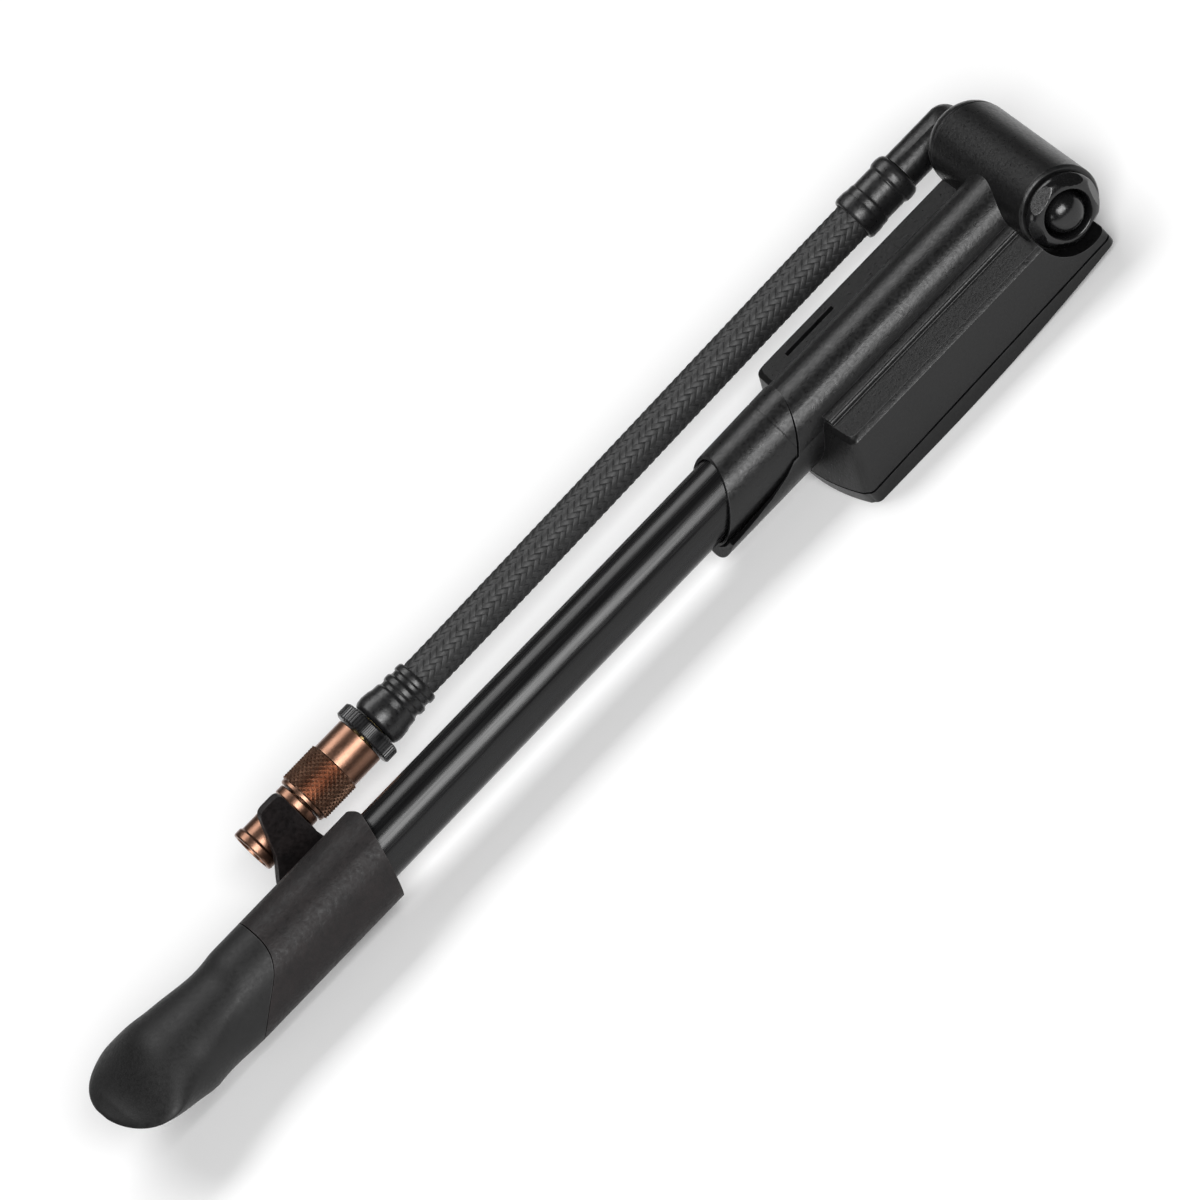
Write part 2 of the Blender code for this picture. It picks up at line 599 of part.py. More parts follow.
def make_handle(frame):
    stations = [0.12, 0.5, 1.2, 2.2, 3.6, 5.6, 8.0, 10.0, 13.0, 16.0, 20.0, 24.0, 27.0, 30.0, 33.0, 48.0]
    end = loft("handle_end", [paddle_section(x) for x in stations], MATT_PLASTIC, frame)
    cut(end, prism("end_side", seam_outline(0.0, 1), "XZ", -20, 20, frame=frame))
    join(end, bar("end_spigot", (30, 0, 0), (SPIGOT_END_X, 0, 0), SPIGOT_R, frame=frame))
    cut(end, bar("rod_socket", (ROD_X[0] - GAP, 0, 0), (60, 0, 0), ROD_R + GAP, steps=SMALL_ROUND,
                 frame=frame))
    cut(end, bar("pin_hole", (PIN_X, -9, 0), (PIN_X, 9, 0), 1.3, steps=TINY_ROUND, frame=frame))

    grip = bar("handle_grip", (28.0, 0, HANDLE_Z), (80.0, 0, HANDLE_Z), HANDLE_R, GRIP_PLASTIC, frame=frame)
    cut(grip, prism("grip_side", seam_outline(0.25, -1), "XZ", -20, 20, frame=frame))
    wall = prism("clip_wall", [(56.8, -5.6), (59.1, -2.0), (60.2, 0.0), (63.0, 9.2), (64.0, CLIP_TOP_Z),
                               (68.2, CLIP_TOP_Z), (69.0, 9.2), (CLIP_X[1], -6.6), (56.6, -6.6)], "XZ",
                 CHUCK_Y - CLIP_OUTER_R, CHUCK_Y - CLIP_INNER_R, frame=frame)
    web = prism("clip_web", [(56.0, 5.0), (57.0, 12.0), (59.5, 21.0), (61.0, CHUCK_Y),
                             (CLIP_X[1], CHUCK_Y), (70.2, 12.0), (71.0, 5.0)],
                "XY", -CLIP_OUTER_R, -CLIP_INNER_R + 0.2, frame=frame)
    seat = bar("clip_seat", (CLIP_X[0], CHUCK_Y, 0), (CLIP_X[1], CHUCK_Y, 0), CLIP_OUTER_R, frame=frame,
               steps=SMALL_ROUND)
    cut(seat, block("seat_top", (50, CHUCK_Y - 2, 0), (80, 50, 20), frame=frame))
    cut(seat, block("seat_side", (50, 10, -1), (80, CHUCK_Y - 1, 20), frame=frame))
    join(grip, web, seat, wall)
    cut(grip, bar("clip_hollow", (50, CHUCK_Y, 0), (80, CHUCK_Y, 0), CLIP_INNER_R, steps=SMALL_ROUND,
                  frame=frame))
    cut(grip, block("clip_mouth", (50, CHUCK_Y - CLIP_INNER_R, 0), (80, 50, 20), frame=frame))
    cut(grip, bar("grip_bore", (20, 0, 0), (90, 0, 0), HANDLE_BORE_R, frame=frame))
    cut(grip, oblique_cutter("grip_mouth", HANDLE_MOUTH_X, MOUTH_SLOPE, 1, frame))


def make_pumping_gear(frame):
    low, high = PISTON_X
    neck_r = ROD_R - 0.6
    rod = turned("piston_rod", [(ROD_X[1], 0.0), (ROD_X[1], neck_r), (low - GAP, neck_r), (low - GAP, ROD_R),
                                (ROD_X[0], ROD_R), (ROD_X[0], 0.0)], STEEL, steps=SMALL_ROUND, frame=frame)
    cut(rod, bar("rod_pin_hole", (PIN_X, -5, 0), (PIN_X, 5, 0), 1.2, steps=TINY_ROUND, frame=frame))
    bar("rod_pin", (PIN_X, -6.6, 0), (PIN_X, 6.6, 0), 0.9, STEEL, steps=TINY_ROUND, frame=frame)
    bore = neck_r + GAP
    turned("piston", [(high, PISTON_R), (high - 1.6, PISTON_R), (high - 1.6, 3.6), (low + 1.9, 3.6),
                      (low + 1.9, PISTON_R), (low, PISTON_R), (low, bore), (high, bore)],
           BRASS, ring=True, steps=SMALL_ROUND, frame=frame)
    turned("piston_seal", [(high - 1.9, PISTON_R), (low + 2.2, PISTON_R), (low + 2.2, 3.9),
                           (high - 1.9, 3.9)],
           RUBBER, ring=True, steps=SMALL_ROUND, frame=frame)
    turned("piston_nut", [(high + 3.2, 3.6), (high + GAP, 3.6), (high + GAP, bore), (high + 3.2, bore)],
           STEEL, ring=True, steps=6, frame=frame)


# ---------------------------------------------------------------- hose and chuck

def make_elbow(frame):
    ball = [(ELBOW_Y + 4.1 * math.sin(a * math.pi / 10), 4.1 * math.cos(a * math.pi / 10))
            for a in range(5, -1, -1)]
    ball[0] = (ELBOW_Y + 4.1, 0.0)
    cap = [(24.6, 4.1), (23.9, 4.7), (23.6, 6.0), (22.6, 7.6), (21.0, 8.6), (CROSS_Y[1] + GAP, CROSS_R)]
    spigot = [(CROSS_Y[1] + GAP, 5.0), (16.4, 5.0), (16.4, 4.0), (14.6, 4.0), (14.6, 5.0), (12.0, 5.0),
              (12.0, 4.0), (10.2, 4.0), (10.2, 5.0), (7.0, 5.0), (7.0, 0.0)]
    elbow = turned("hose_elbow", ball + cap + spigot, SATIN_PLASTIC, at=(CROSS_X, 0, 0), axis="Y",
                   steps=SMALL_ROUND, frame=frame)
    pipe = bar("elbow_pipe", (CROSS_X, ELBOW_Y, 0), (240.2, ELBOW_Y, 0), 4.1, frame=frame)
    barb = bar("elbow_barb", (CROSS_X, ELBOW_Y, 0), (225.0, ELBOW_Y, 0), HOSE_BORE_R - GAP,
               steps=SMALL_ROUND, frame=frame)
    join(elbow, pipe, barb)
    cut(elbow, bar("elbow_air_y", (CROSS_X, 0, 0), (CROSS_X, ELBOW_Y + 0.9, 0), 1.2, steps=TINY_ROUND,
                   frame=frame))
    cut(elbow, bar("elbow_air_x", (CROSS_X + 0.9, ELBOW_Y, 0), (220, ELBOW_Y, 0), 1.1, steps=TINY_ROUND,
                   frame=frame))
    for i, y in enumerate((14.9, 10.5)):
        turned("elbow_seal_%d" % (i + 1), [(y + 1.2, 5.05), (y, 5.05), (y, 4.3), (y + 1.2, 4.3)], RUBBER,
               at=(CROSS_X, 0, 0), axis="Y", ring=True, steps=SMALL_ROUND, frame=frame)


def hose_line(count):
    """The hose's centre line, a shallow curve from the chuck's axis to the elbow's pipe."""
    points = []
    for i in range(count):
        t = i / (count - 1)
        ease = t * t * (3 - 2 * t)
        points.append(Vector((HOSE_X[0] + (HOSE_X[1] - HOSE_X[0]) * t,
                              CHUCK_Y + (ELBOW_Y - CHUCK_Y) * ease, 0.0)))
    return points


def make_hose(frame):
    line = hose_line(13)
    hose = wire("hose", line, HOSE_R, BRAID, frame, 6)
    start = line[0] + (line[0] - line[1]) * 0.2
    end = line[-1] + (line[-1] - line[-2]) * 0.2
    cut(hose, wire("hose_bore", [start] + line[1:-1] + [end], HOSE_BORE_R, None, frame, 4))
    inner = HOSE_R + GAP
    upper = [(240.0, 4.5), (239.4, 4.9), (238.3, 5.1), (237.0, 5.0), (236.5, 4.6), (236.2, 4.7), (231.9, 4.7),
             (231.6, 4.9), (230.2, 4.9), (229.9, 5.0), (229.2, 5.1), (227.6, 5.1), (226.9, 4.8)]
    turned("upper_ferrule", upper + [(226.9, inner), (240.0, inner)], BLACK_METAL, at=(0, ELBOW_Y, 0),
           ring=True, steps=SMALL_ROUND, frame=frame)
    lower = [(104.2, 4.6), (103.6, 4.85), (102.6, 4.85), (102.4, 4.5), (101.4, 4.5), (101.0, 5.0),
             (99.8, 5.0), (99.4, 4.6), (98.6, 4.6), (98.2, 5.0), (96.6, 5.1), (95.6, 5.4), (94.0, 5.55),
             (92.7, 5.4), (92.0, 4.9), (92.0, 3.0), (94.6, 3.0), (94.6, inner)]
    turned("lower_ferrule", lower + [(104.2, inner)], BLACK_METAL, at=(0, CHUCK_Y, 0), ring=True,
           steps=SMALL_ROUND, frame=frame)
    stem = [(110.0, 2.2), (92.0, 2.2), (91.6, 2.7), (87.2, 2.7), (87.2, 4.4), (79.4, 4.4), (79.4, 1.2),
            (110.0, 1.2)]
    turned("chuck_stem", stem, BRASS, at=(0, CHUCK_Y, 0), ring=True, steps=SMALL_ROUND, frame=frame)


def make_chuck(chuck_frame, ring_frame, pin_frame):
    at = (0, CHUCK_Y, 0)
    nose = [(78.4, 2.9), (71.3, 2.9), (71.3, 4.7), (71.1, 4.86), (69.6, 4.86), (69.4, 4.45), (60.0, 4.45),
            (59.6, 4.8), (58.2, 4.8), (57.9, 4.6), (57.9, 3.85), (67.0, 3.85), (67.0, 1.4), (78.4, 1.4)]
    turned("chuck_nose", nose, COPPER, at=at, ring=True, steps=SMALL_ROUND, frame=chuck_frame)
    sleeve = [(88.1, 5.38), (80.9, 5.38), (80.6, 5.75), (72.9, 5.75), (72.6, 5.38), (71.8, 5.38), (71.6, 5.2),
              (71.6, 3.2), (78.9, 3.2), (78.9, 4.7), (87.5, 4.7), (87.5, 3.0), (88.1, 3.0)]
    turned("knurled_sleeve", sleeve, COPPER, at=at, ring=True, steps=SMALL_ROUND, frame=chuck_frame)
    turned("chuck_seal", [(66.6, 3.5), (65.2, 3.5), (65.2, 1.7), (66.6, 1.7)], RUBBER, at=at, ring=True,
           steps=SMALL_ROUND, frame=chuck_frame)
    teeth = 32
    outline = []
    for i in range(2 * teeth):
        angle = math.pi * i / teeth
        radius = 6.75 if i % 2 else 6.45
        outline.append((CHUCK_Y + radius * math.cos(angle), radius * math.sin(angle)))
    ring = prism("lock_ring", outline, "YZ", 88.4, 91.6, BLACK_METAL, ring_frame)
    cut(ring, bar("lock_ring_bore", (80, CHUCK_Y, 0), (95, CHUCK_Y, 0), 3.0, steps=SMALL_ROUND,
                  frame=ring_frame))
    turned("depressor_pin", [(80.6, 0.0), (80.6, 0.8), (64.4, 0.8), (63.8, 0.5), (63.8, 0.0)], STEEL, at=at,
           steps=TINY_ROUND, frame=pin_frame)


def make_mode_button():
    frame = empty("mode_button_axis", (BUTTON_X, 0, FACE_Z), PUMP)
    turned("mode_button", [(-10.2, 0.0), (-10.2, 1.6), (-12.2, 1.6), (-12.2, BUTTON_R + 0.9),
                           (-12.8, BUTTON_R + 0.9), (-12.8, BUTTON_R), (FACE_Z + 0.3, BUTTON_R),
                           (FACE_Z + 0.05, BUTTON_R - 0.3), (FACE_Z + 0.05, 0.0)],
           RUBBER, at=(BUTTON_X, 0, 0), axis="Z", steps=SMALL_ROUND, frame=frame)


make_rear_housing()
make_front_cover()
make_collar()
make_gauge()
make_barrel()
make_bleed_valve()
make_mode_button()

handle_slide = empty("handle_slide", (60.0, 0, 0), PUMP)
make_handle(handle_slide)
make_pumping_gear(handle_slide)

hose_swing = empty("hose_swing", (CROSS_X, ELBOW_Y, 0), PUMP)
make_elbow(hose_swing)
make_hose(hose_swing)
chuck_axis = empty("chuck_axis", (71.6, CHUCK_Y, 0), PUMP)
lock_ring_axis = empty("lock_ring_axis", (90.0, CHUCK_Y, 0), PUMP)
pin_axis = empty("pin_axis", (72.0, CHUCK_Y, 0), PUMP)
make_chuck(chuck_axis, lock_ring_axis, pin_axis)
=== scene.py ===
"""Hand-held suspension pump: fine pieces, materials, light and camera over the CAD frame.

Sizes are in millimetres in the pump frame, which has x along the barrel from the end of the
handle to the head, +y to the hose side and +z to the back of the gauge housing, with y = z = 0
on the barrel's axis. spot() turns them into metres in the row frame.
"""

import math

import bmesh
import bpy
from mathutils import Matrix, Vector


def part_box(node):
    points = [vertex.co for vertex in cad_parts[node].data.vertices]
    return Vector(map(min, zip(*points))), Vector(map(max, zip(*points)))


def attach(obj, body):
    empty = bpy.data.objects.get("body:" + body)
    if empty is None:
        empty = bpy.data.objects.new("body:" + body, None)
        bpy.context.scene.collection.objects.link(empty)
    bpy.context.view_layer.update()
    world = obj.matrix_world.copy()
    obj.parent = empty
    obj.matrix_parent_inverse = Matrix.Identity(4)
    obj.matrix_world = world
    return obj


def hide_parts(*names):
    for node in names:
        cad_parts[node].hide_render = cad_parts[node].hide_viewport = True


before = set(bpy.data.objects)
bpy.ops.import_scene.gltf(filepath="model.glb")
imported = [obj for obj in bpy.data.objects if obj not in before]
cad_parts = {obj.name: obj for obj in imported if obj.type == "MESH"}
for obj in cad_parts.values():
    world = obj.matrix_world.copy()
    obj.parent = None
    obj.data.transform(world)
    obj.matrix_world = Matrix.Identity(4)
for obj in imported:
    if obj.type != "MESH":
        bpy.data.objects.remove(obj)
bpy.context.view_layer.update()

MM = 0.001

# The barrel's low end fixes the pump frame in the row frame
BARREL_X = (53.0, 188.0)
BARREL_R = 6.67
BARREL_BORE_R = 5.35
tube_low, tube_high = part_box("barrel_tube")
ORIGIN = Vector((tube_low[0] - BARREL_X[0] * MM, (tube_low[1] + tube_high[1]) / 2,
                 (tube_low[2] + tube_high[2]) / 2))

GAP = 0.3

# The floor lies just below the cover's flat face
FLOOR_GAP = 0.1

# Sides of a round of each size
ROUND = 128
SMALL_ROUND = 72
TINY_ROUND = 32

# Handle
ROD_R = 2.5
ROD_X = (37.0, 181.0)
PISTON_LOW_X = 170.0
HANDLE_R = 9.5
HANDLE_Z = -0.7
HANDLE_BORE_R = 7.4
HANDLE_MOUTH_X = 73.9
MOUTH_SLOPE = 0.30
MOUTH_TURN = math.radians(37.0)
MOUTH_CORNER = (6.4, 9.6)
MOUTH_CORNER_DEPTH = 3.0
SEAM_X = 44.9
SEAM_BEND = 0.1
SEAM_TOP_Z = 8.8
SEAM_TURN_Z = 2.0
SEAM_FOOT_Z = -10.4
PADDLE_HALF_WIDTH = 14.9
PADDLE_END_LENGTH = 10.0
PADDLE_NARROWING = 7.8
PADDLE_NOSE_X = 3.0
PADDLE_TOP = (1.5, 6.6, 18.0)
PADDLE_BELLY = (1.2, 9.8, 20.0)
LENS_X = (7.0, 18.0)
PADDLE_BLEND_X = (22.0, 33.0)
EAVE_Z = 1.4
EAVE_LIFT = 1.4
CREASE_X = (32.6, 37.6)
CREASE_DEPTH = 0.9
SPIGOT_R = 7.1
SPIGOT_END_X = 50.0
PIN_X = 46.5
CLIP_X = (60.0, 69.4)
CLIP_INNER_R = 5.1
CLIP_OUTER_R = 6.7
CLIP_TOP_Z = 10.2

# Hose line
CHUCK_Y = 27.3
ELBOW_Y = 29.4
HOSE_X = (95.0, 239.8)
HOSE_CORE_R = 3.5
HOSE_BORE_R = 2.5
PIPE_R = 4.1
PIPE_LOW_X = 240.2
BARB_LOW_X = 225.0
# The elbow's inner end stays clear of the bleed button's stem when the button is pressed
SPIGOT_LOW_Y = 7.3

# Braid: ribbons of yarns that cross over two and under two
BRAID_X = (103.2, 228.2)
BRAID_STRANDS = 16
BRAID_R = 3.72
BRAID_WAVE = 0.15
BRAID_PITCH = 0.92
RIBBON = ((-0.56, -0.02), (-0.37, 0.15), (-0.19, 0.07), (0.0, 0.17), (0.19, 0.07), (0.37, 0.15),
          (0.56, -0.02), (0.3, -0.12), (-0.3, -0.12))

# Head
CROSS_X = 252.7
CROSS_R = 8.95
CROSS_Y = (-15.0, 18.8)
CROSS_BORE_R = 5.3
CROSS_WEB = 2.9
BOX_HALF_WIDTH = 19.6
BOX_END_X = 256.0
BOX_LOW_X = 184.8
BOX_CORNER_X = 187.9
PLATE_LOW_X = 191.0
WALL = 1.8
SEAM_LOW_Z = -11.7
SEAM_SLOPE = 0.0265
FACE_Z = -14.6
FACE_BOW_X = 204.0
FACE_BOW_R = 437.0
COVER_WALL = 1.5
SPINE_R = 8.1
SPINE_FLAT = 0.9
STEP_HALF_WIDTH = 11.2
STEP_Z = 1.1
STEP_ROUND = 0.7
COLLAR_SLOPE = 0.7
COLLAR_LOW_X = 166.5
COLLAR_HIGH_X = 184.8
COLLAR_R = (7.4, 7.9)
KEEL_R = 8.0
KEEL_Z = -2.0
BLEED_STEM_R = 1.5
NUT_RECESS_R = 8.3
NUT_FACET_LEAN = 42.0
NUT_FACET_R = 6.35
BLEED_DOME_R = 4.4

# Front of the gauge
WINDOW_X = (208.0, 240.0)
WINDOW_HALF_WIDTH = 12.0
BUTTON_X = 197.0
BUTTON_R = 3.2

# The camera stands far back, so that the view is almost without perspective
CAMERA_DISTANCE = 4.8
VIEW_WIDTH = 0.2304
VIEW_CENTRE = (137.9, 1.35, 1.74)
VIEW_LEAN = math.radians(46.0)

# Chuck
KNURL_X = (72.7, 80.8)
KNURL_R = (5.48, 5.85)
KNURLS_ROUND = 30
KNURL_ROWS = 7
LOCK_RING_X = (88.4, 91.6)
LOCK_RING_R = 6.75
LOCK_RING_TEETH = 56


def spot(x, y, z):
    """A point of the pump frame, in the row frame."""
    return ORIGIN + Vector((x, y, z)) * MM


# ---------------------------------------------------------------- materials

def node(tree, kind, inputs=None, **settings):
    """A node with its settings and its unlinked inputs filled in."""
    made = tree.nodes.new(kind)
    for key, value in settings.items():
        setattr(made, key, value)
    for key, value in (inputs or {}).items():
        made.inputs[key].default_value = value
    return made


def noise(tree, coords, scale, detail=3.0, stretch=(1.0, 1.0, 1.0)):
    """Noise in the object's own metres; stretch squeezes it along chosen axes."""
    made = node(tree, "ShaderNodeTexNoise", {"Scale": scale, "Detail": detail, "Roughness": 0.6})
    if stretch == (1.0, 1.0, 1.0):
        tree.links.new(coords, made.inputs["Vector"])
    else:
        squeeze = node(tree, "ShaderNodeMapping", {"Scale": stretch})
        tree.links.new(coords, squeeze.inputs["Vector"])
        tree.links.new(squeeze.outputs["Vector"], made.inputs["Vector"])
    return made.outputs["Fac"]


def ramp(tree, value, stops):
    """Colours along a value, as (position, colour) stops."""
    made = node(tree, "ShaderNodeValToRGB")
    made.color_ramp.elements[0].position, first = stops[0][0], stops[0][1]
    made.color_ramp.elements[0].color = (*first, 1.0)
    made.color_ramp.elements[1].position, last = stops[-1][0], stops[-1][1]
    made.color_ramp.elements[1].color = (*last, 1.0)
    for position, colour in stops[1:-1]:
        made.color_ramp.elements.new(position).color = (*colour, 1.0)
    tree.links.new(value, made.inputs["Fac"])
    return made.outputs["Color"]


def spread(tree, value, low, high):
    """A noise value's middle range mapped to low..high."""
    made = node(tree, "ShaderNodeMapRange", {"From Min": 0.3, "From Max": 0.7, "To Min": low, "To Max": high})
    tree.links.new(value, made.inputs["Value"])
    return made.outputs["Result"]


def edge_wear_and_highlight_mask(tree, radius):
    """A mask that is 1 on sharp outer edges: where a rounded normal parts from the true one. It places a
    lighter edge colour that is partly wear and partly a painted highlight.
    """
    rounded = node(tree, "ShaderNodeBevel", {"Radius": radius}, samples=4)
    geometry = node(tree, "ShaderNodeNewGeometry")
    along = node(tree, "ShaderNodeVectorMath", operation="DOT_PRODUCT")
    tree.links.new(rounded.outputs["Normal"], along.inputs[0])
    tree.links.new(geometry.outputs["Normal"], along.inputs[1])
    mask = node(tree, "ShaderNodeMapRange",
                {"From Min": 0.985, "From Max": 0.86, "To Min": 0.0, "To Max": 1.0})
    tree.links.new(along.outputs["Value"], mask.inputs["Value"])
    return mask.outputs["Result"]


def surface(name, dark, light, rough, metallic=0.0, patch=55.0, grain=1800.0, grain_depth=0.02,
            fine=6000.0, fine_depth=0.0, stretch=(1.0, 1.0, 1.0), speckle=0.72, wear_and_highlight=None,
            specular=0.5, coat=0.0):
    """A finish with soft patches between two colours, a bumpy grain and a finer one on top of it, roughness
    that follows the grain, and optionally a lighter colour in patches along its sharp edges, which is partly
    wear and partly a painted highlight. Scales are in features per metre and depths in millimetres."""
    mat = bpy.data.materials.new(name)
    mat.use_nodes = True
    tree = mat.node_tree
    shader = tree.nodes["Principled BSDF"]
    coords = node(tree, "ShaderNodeTexCoord").outputs["Object"]
    patches = noise(tree, coords, patch, 4.0)
    grains = noise(tree, coords, grain, 2.0, stretch)
    colour = ramp(tree, patches, [(0.32, dark), (0.68, light)])
    speck = ramp(tree, grains, [(0.35, (speckle, speckle, speckle)), (0.62, (1.0, 1.0, 1.0))])
    tint = node(tree, "ShaderNodeMix", {"Factor": 1.0}, data_type="RGBA", blend_type="MULTIPLY")
    tree.links.new(colour, tint.inputs["A"])
    tree.links.new(speck, tint.inputs["B"])
    shown = tint.outputs["Result"]
    # Sharp edges turn lighter in patches: partly wear, partly a painted highlight where the edges catch the
    # light
    if wear_and_highlight:
        rubbed_and_highlit = node(tree, "ShaderNodeMath", operation="MULTIPLY")
        tree.links.new(edge_wear_and_highlight_mask(tree, 0.00035), rubbed_and_highlit.inputs[0])
        tree.links.new(spread(tree, noise(tree, coords, 420.0, 5.0), 0.0, 1.0), rubbed_and_highlit.inputs[1])
        wear_and_highlight_mix = node(tree, "ShaderNodeMix", data_type="RGBA")
        wear_and_highlight_mix.inputs["B"].default_value = (*wear_and_highlight, 1.0)
        tree.links.new(rubbed_and_highlit.outputs["Value"], wear_and_highlight_mix.inputs["Factor"])
        tree.links.new(shown, wear_and_highlight_mix.inputs["A"])
        shown = wear_and_highlight_mix.outputs["Result"]
    tree.links.new(shown, shader.inputs["Base Color"])
    tree.links.new(spread(tree, grains, *rough), shader.inputs["Roughness"])
    bump = node(tree, "ShaderNodeBump", {"Strength": 1.0, "Distance": grain_depth * MM})
    tree.links.new(grains, bump.inputs["Height"])
    if fine_depth:
        finer = node(tree, "ShaderNodeBump", {"Strength": 1.0, "Distance": fine_depth * MM})
        tree.links.new(noise(tree, coords, fine, 2.0), finer.inputs["Height"])
        tree.links.new(bump.outputs["Normal"], finer.inputs["Normal"])
        bump = finer
    tree.links.new(bump.outputs["Normal"], shader.inputs["Normal"])
    shader.inputs["Metallic"].default_value = metallic
    shader.inputs["Specular IOR Level"].default_value = specular
    if coat:
        shader.inputs["Coat Weight"].default_value = coat
        shader.inputs["Coat Roughness"].default_value = 0.12
    return mat


ALONG_X = (0.02, 1.0, 1.0)
ROUND_X = (1.0, 0.04, 0.04)

# Each finish's lighter edge colour is partly wear and partly a painted highlight on its sharp edges
LOOKS = {
    "housing_plastic": surface("moulded_satin_plastic", (0.0038, 0.0038, 0.0040), (0.0060, 0.0060, 0.0062),
                               (0.27, 0.42), grain=1500.0, grain_depth=0.04, fine_depth=0.01,
                               wear_and_highlight=(0.05, 0.05, 0.052), specular=0.4),
    "cover_plastic": surface("cover_satin_plastic", (0.0038, 0.0038, 0.0040), (0.0058, 0.0058, 0.0060),
                             (0.28, 0.42), grain=1700.0, grain_depth=0.035, fine_depth=0.01,
                             wear_and_highlight=(0.045, 0.045, 0.047), specular=0.4),
    "handle_plastic": surface("handle_matt_plastic", (0.0085, 0.0084, 0.0085), (0.0125, 0.0123, 0.0125),
                              (0.44, 0.58), grain=1300.0, grain_depth=0.035, fine_depth=0.012,
                              wear_and_highlight=(0.05, 0.05, 0.05), specular=0.3),
    "grip_plastic": surface("grip_textured_plastic", (0.0068, 0.0052, 0.0055), (0.0150, 0.0112, 0.0112),
                            (0.44, 0.64), patch=240.0, grain=1100.0, grain_depth=0.10,
                            fine_depth=0.02, speckle=0.6,
                            wear_and_highlight=(0.05, 0.042, 0.042), specular=0.3),
    "anodised_black": surface("anodised_black_aluminium", (0.0022, 0.0022, 0.0024), (0.0035, 0.0035, 0.0038),
                              (0.20, 0.32), grain=2600.0, grain_depth=0.004, stretch=ALONG_X,
                              speckle=0.85, wear_and_highlight=(0.05, 0.05, 0.052), specular=0.38),
    "black_metal": surface("gloss_black_metal", (0.003, 0.003, 0.0032), (0.005, 0.005, 0.0053),
                           (0.16, 0.28), grain=2200.0, grain_depth=0.006, speckle=0.85,
                           wear_and_highlight=(0.06, 0.06, 0.06)),
    "ferrule_metal": surface("satin_black_ferrule", (0.007, 0.007, 0.0073), (0.013, 0.013, 0.0134),
                             (0.26, 0.40), grain=1600.0, grain_depth=0.03,
                             wear_and_highlight=(0.08, 0.08, 0.08)),
    "copper_metal": surface("copper_anodised_metal", (0.19, 0.100, 0.066), (0.29, 0.160, 0.110),
                            (0.28, 0.38), metallic=1.0, patch=110.0, grain=2400.0, grain_depth=0.0012,
                            speckle=0.9, wear_and_highlight=(0.62, 0.38, 0.26)),
    "brass": surface("turned_brass", (0.50, 0.36, 0.15), (0.62, 0.47, 0.22), (0.22, 0.40), metallic=1.0,
                     grain_depth=0.012, stretch=ROUND_X, wear_and_highlight=(0.80, 0.66, 0.38)),
    "steel": surface("ground_steel", (0.44, 0.44, 0.45), (0.58, 0.58, 0.59), (0.16, 0.32), metallic=1.0,
                     grain=2600.0, grain_depth=0.006, stretch=ALONG_X, wear_and_highlight=(0.75, 0.75, 0.76)),
    "spring_steel": surface("spring_steel", (0.30, 0.30, 0.31), (0.46, 0.46, 0.47), (0.24, 0.40),
                            metallic=1.0, grain_depth=0.01),
    "rubber": surface("moulded_rubber", (0.010, 0.010, 0.010), (0.017, 0.017, 0.017), (0.62, 0.82),
                      grain=1400.0, grain_depth=0.03, specular=0.35),
    "braided_hose": surface("braid_yarn", (0.014, 0.014, 0.0143), (0.030, 0.030, 0.0305), (0.42, 0.62),
                            patch=500.0, grain=5200.0, grain_depth=0.03),
    "hose_core": surface("hose_core_rubber", (0.004, 0.004, 0.004), (0.007, 0.007, 0.007), (0.6, 0.8),
                         grain_depth=0.02),
    "window_glass": surface("tinted_window", (0.010, 0.011, 0.012), (0.013, 0.014, 0.015), (0.05, 0.12),
                            grain=900.0, grain_depth=0.002, coat=0.6),
    "lcd": surface("lcd_backing", (0.20, 0.225, 0.185), (0.25, 0.275, 0.23), (0.30, 0.42), grain=2500.0,
                   grain_depth=0.004),
    "circuit_board": surface("green_solder_mask", (0.008, 0.085, 0.032), (0.012, 0.13, 0.05), (0.28, 0.45),
                             patch=300.0, grain_depth=0.02, wear_and_highlight=(0.28, 0.22, 0.10)),
    "nickel": surface("nickel_plate", (0.50, 0.49, 0.46), (0.62, 0.61, 0.58), (0.18, 0.34), metallic=1.0,
                      grain=1500.0, grain_depth=0.006, wear_and_highlight=(0.78, 0.77, 0.74)),
}


# ---------------------------------------------------------------- mesh helpers

def make(name, verts, faces, smooth=38.0):
    """An object from points in millimetres, with faces turned outward and hard edges kept."""
    bm = bmesh.new()
    points = [bm.verts.new(spot(*vert)) for vert in verts]
    for face in faces:
        bm.faces.new([points[i] for i in face])
    bmesh.ops.recalc_face_normals(bm, faces=bm.faces)
    mesh = bpy.data.meshes.new(name)
    bm.to_mesh(mesh)
    bm.free()
    obj = bpy.data.objects.new(name, mesh)
    bpy.context.scene.collection.objects.link(obj)
    shade(obj, smooth)
    return obj


def shade(obj, angle=38.0):
    obj.data.shade_smooth()
    obj.data.set_sharp_from_angle(angle=math.radians(angle))


def settle(obj, angle=38.0):
    """Turns the object's modifiers into its mesh."""
    bpy.context.view_layer.update()
    seen = obj.evaluated_get(bpy.context.evaluated_depsgraph_get())
    mesh = bpy.data.meshes.new_from_object(seen)
    obj.modifiers.clear()
    obj.data = mesh
    shade(obj, angle)
    return obj


def tube_faces(rings, count, closed_rings):
    """Quads between rings of count points; closed_rings also joins the last ring to the first."""
    faces = []
    for k in range(rings if closed_rings else rings - 1):
        for i in range(count):
            j = (i + 1) % count
            a, b = k * count, ((k + 1) % rings) * count
            faces.append((a + i, a + j, b + j, b + i))
    return faces


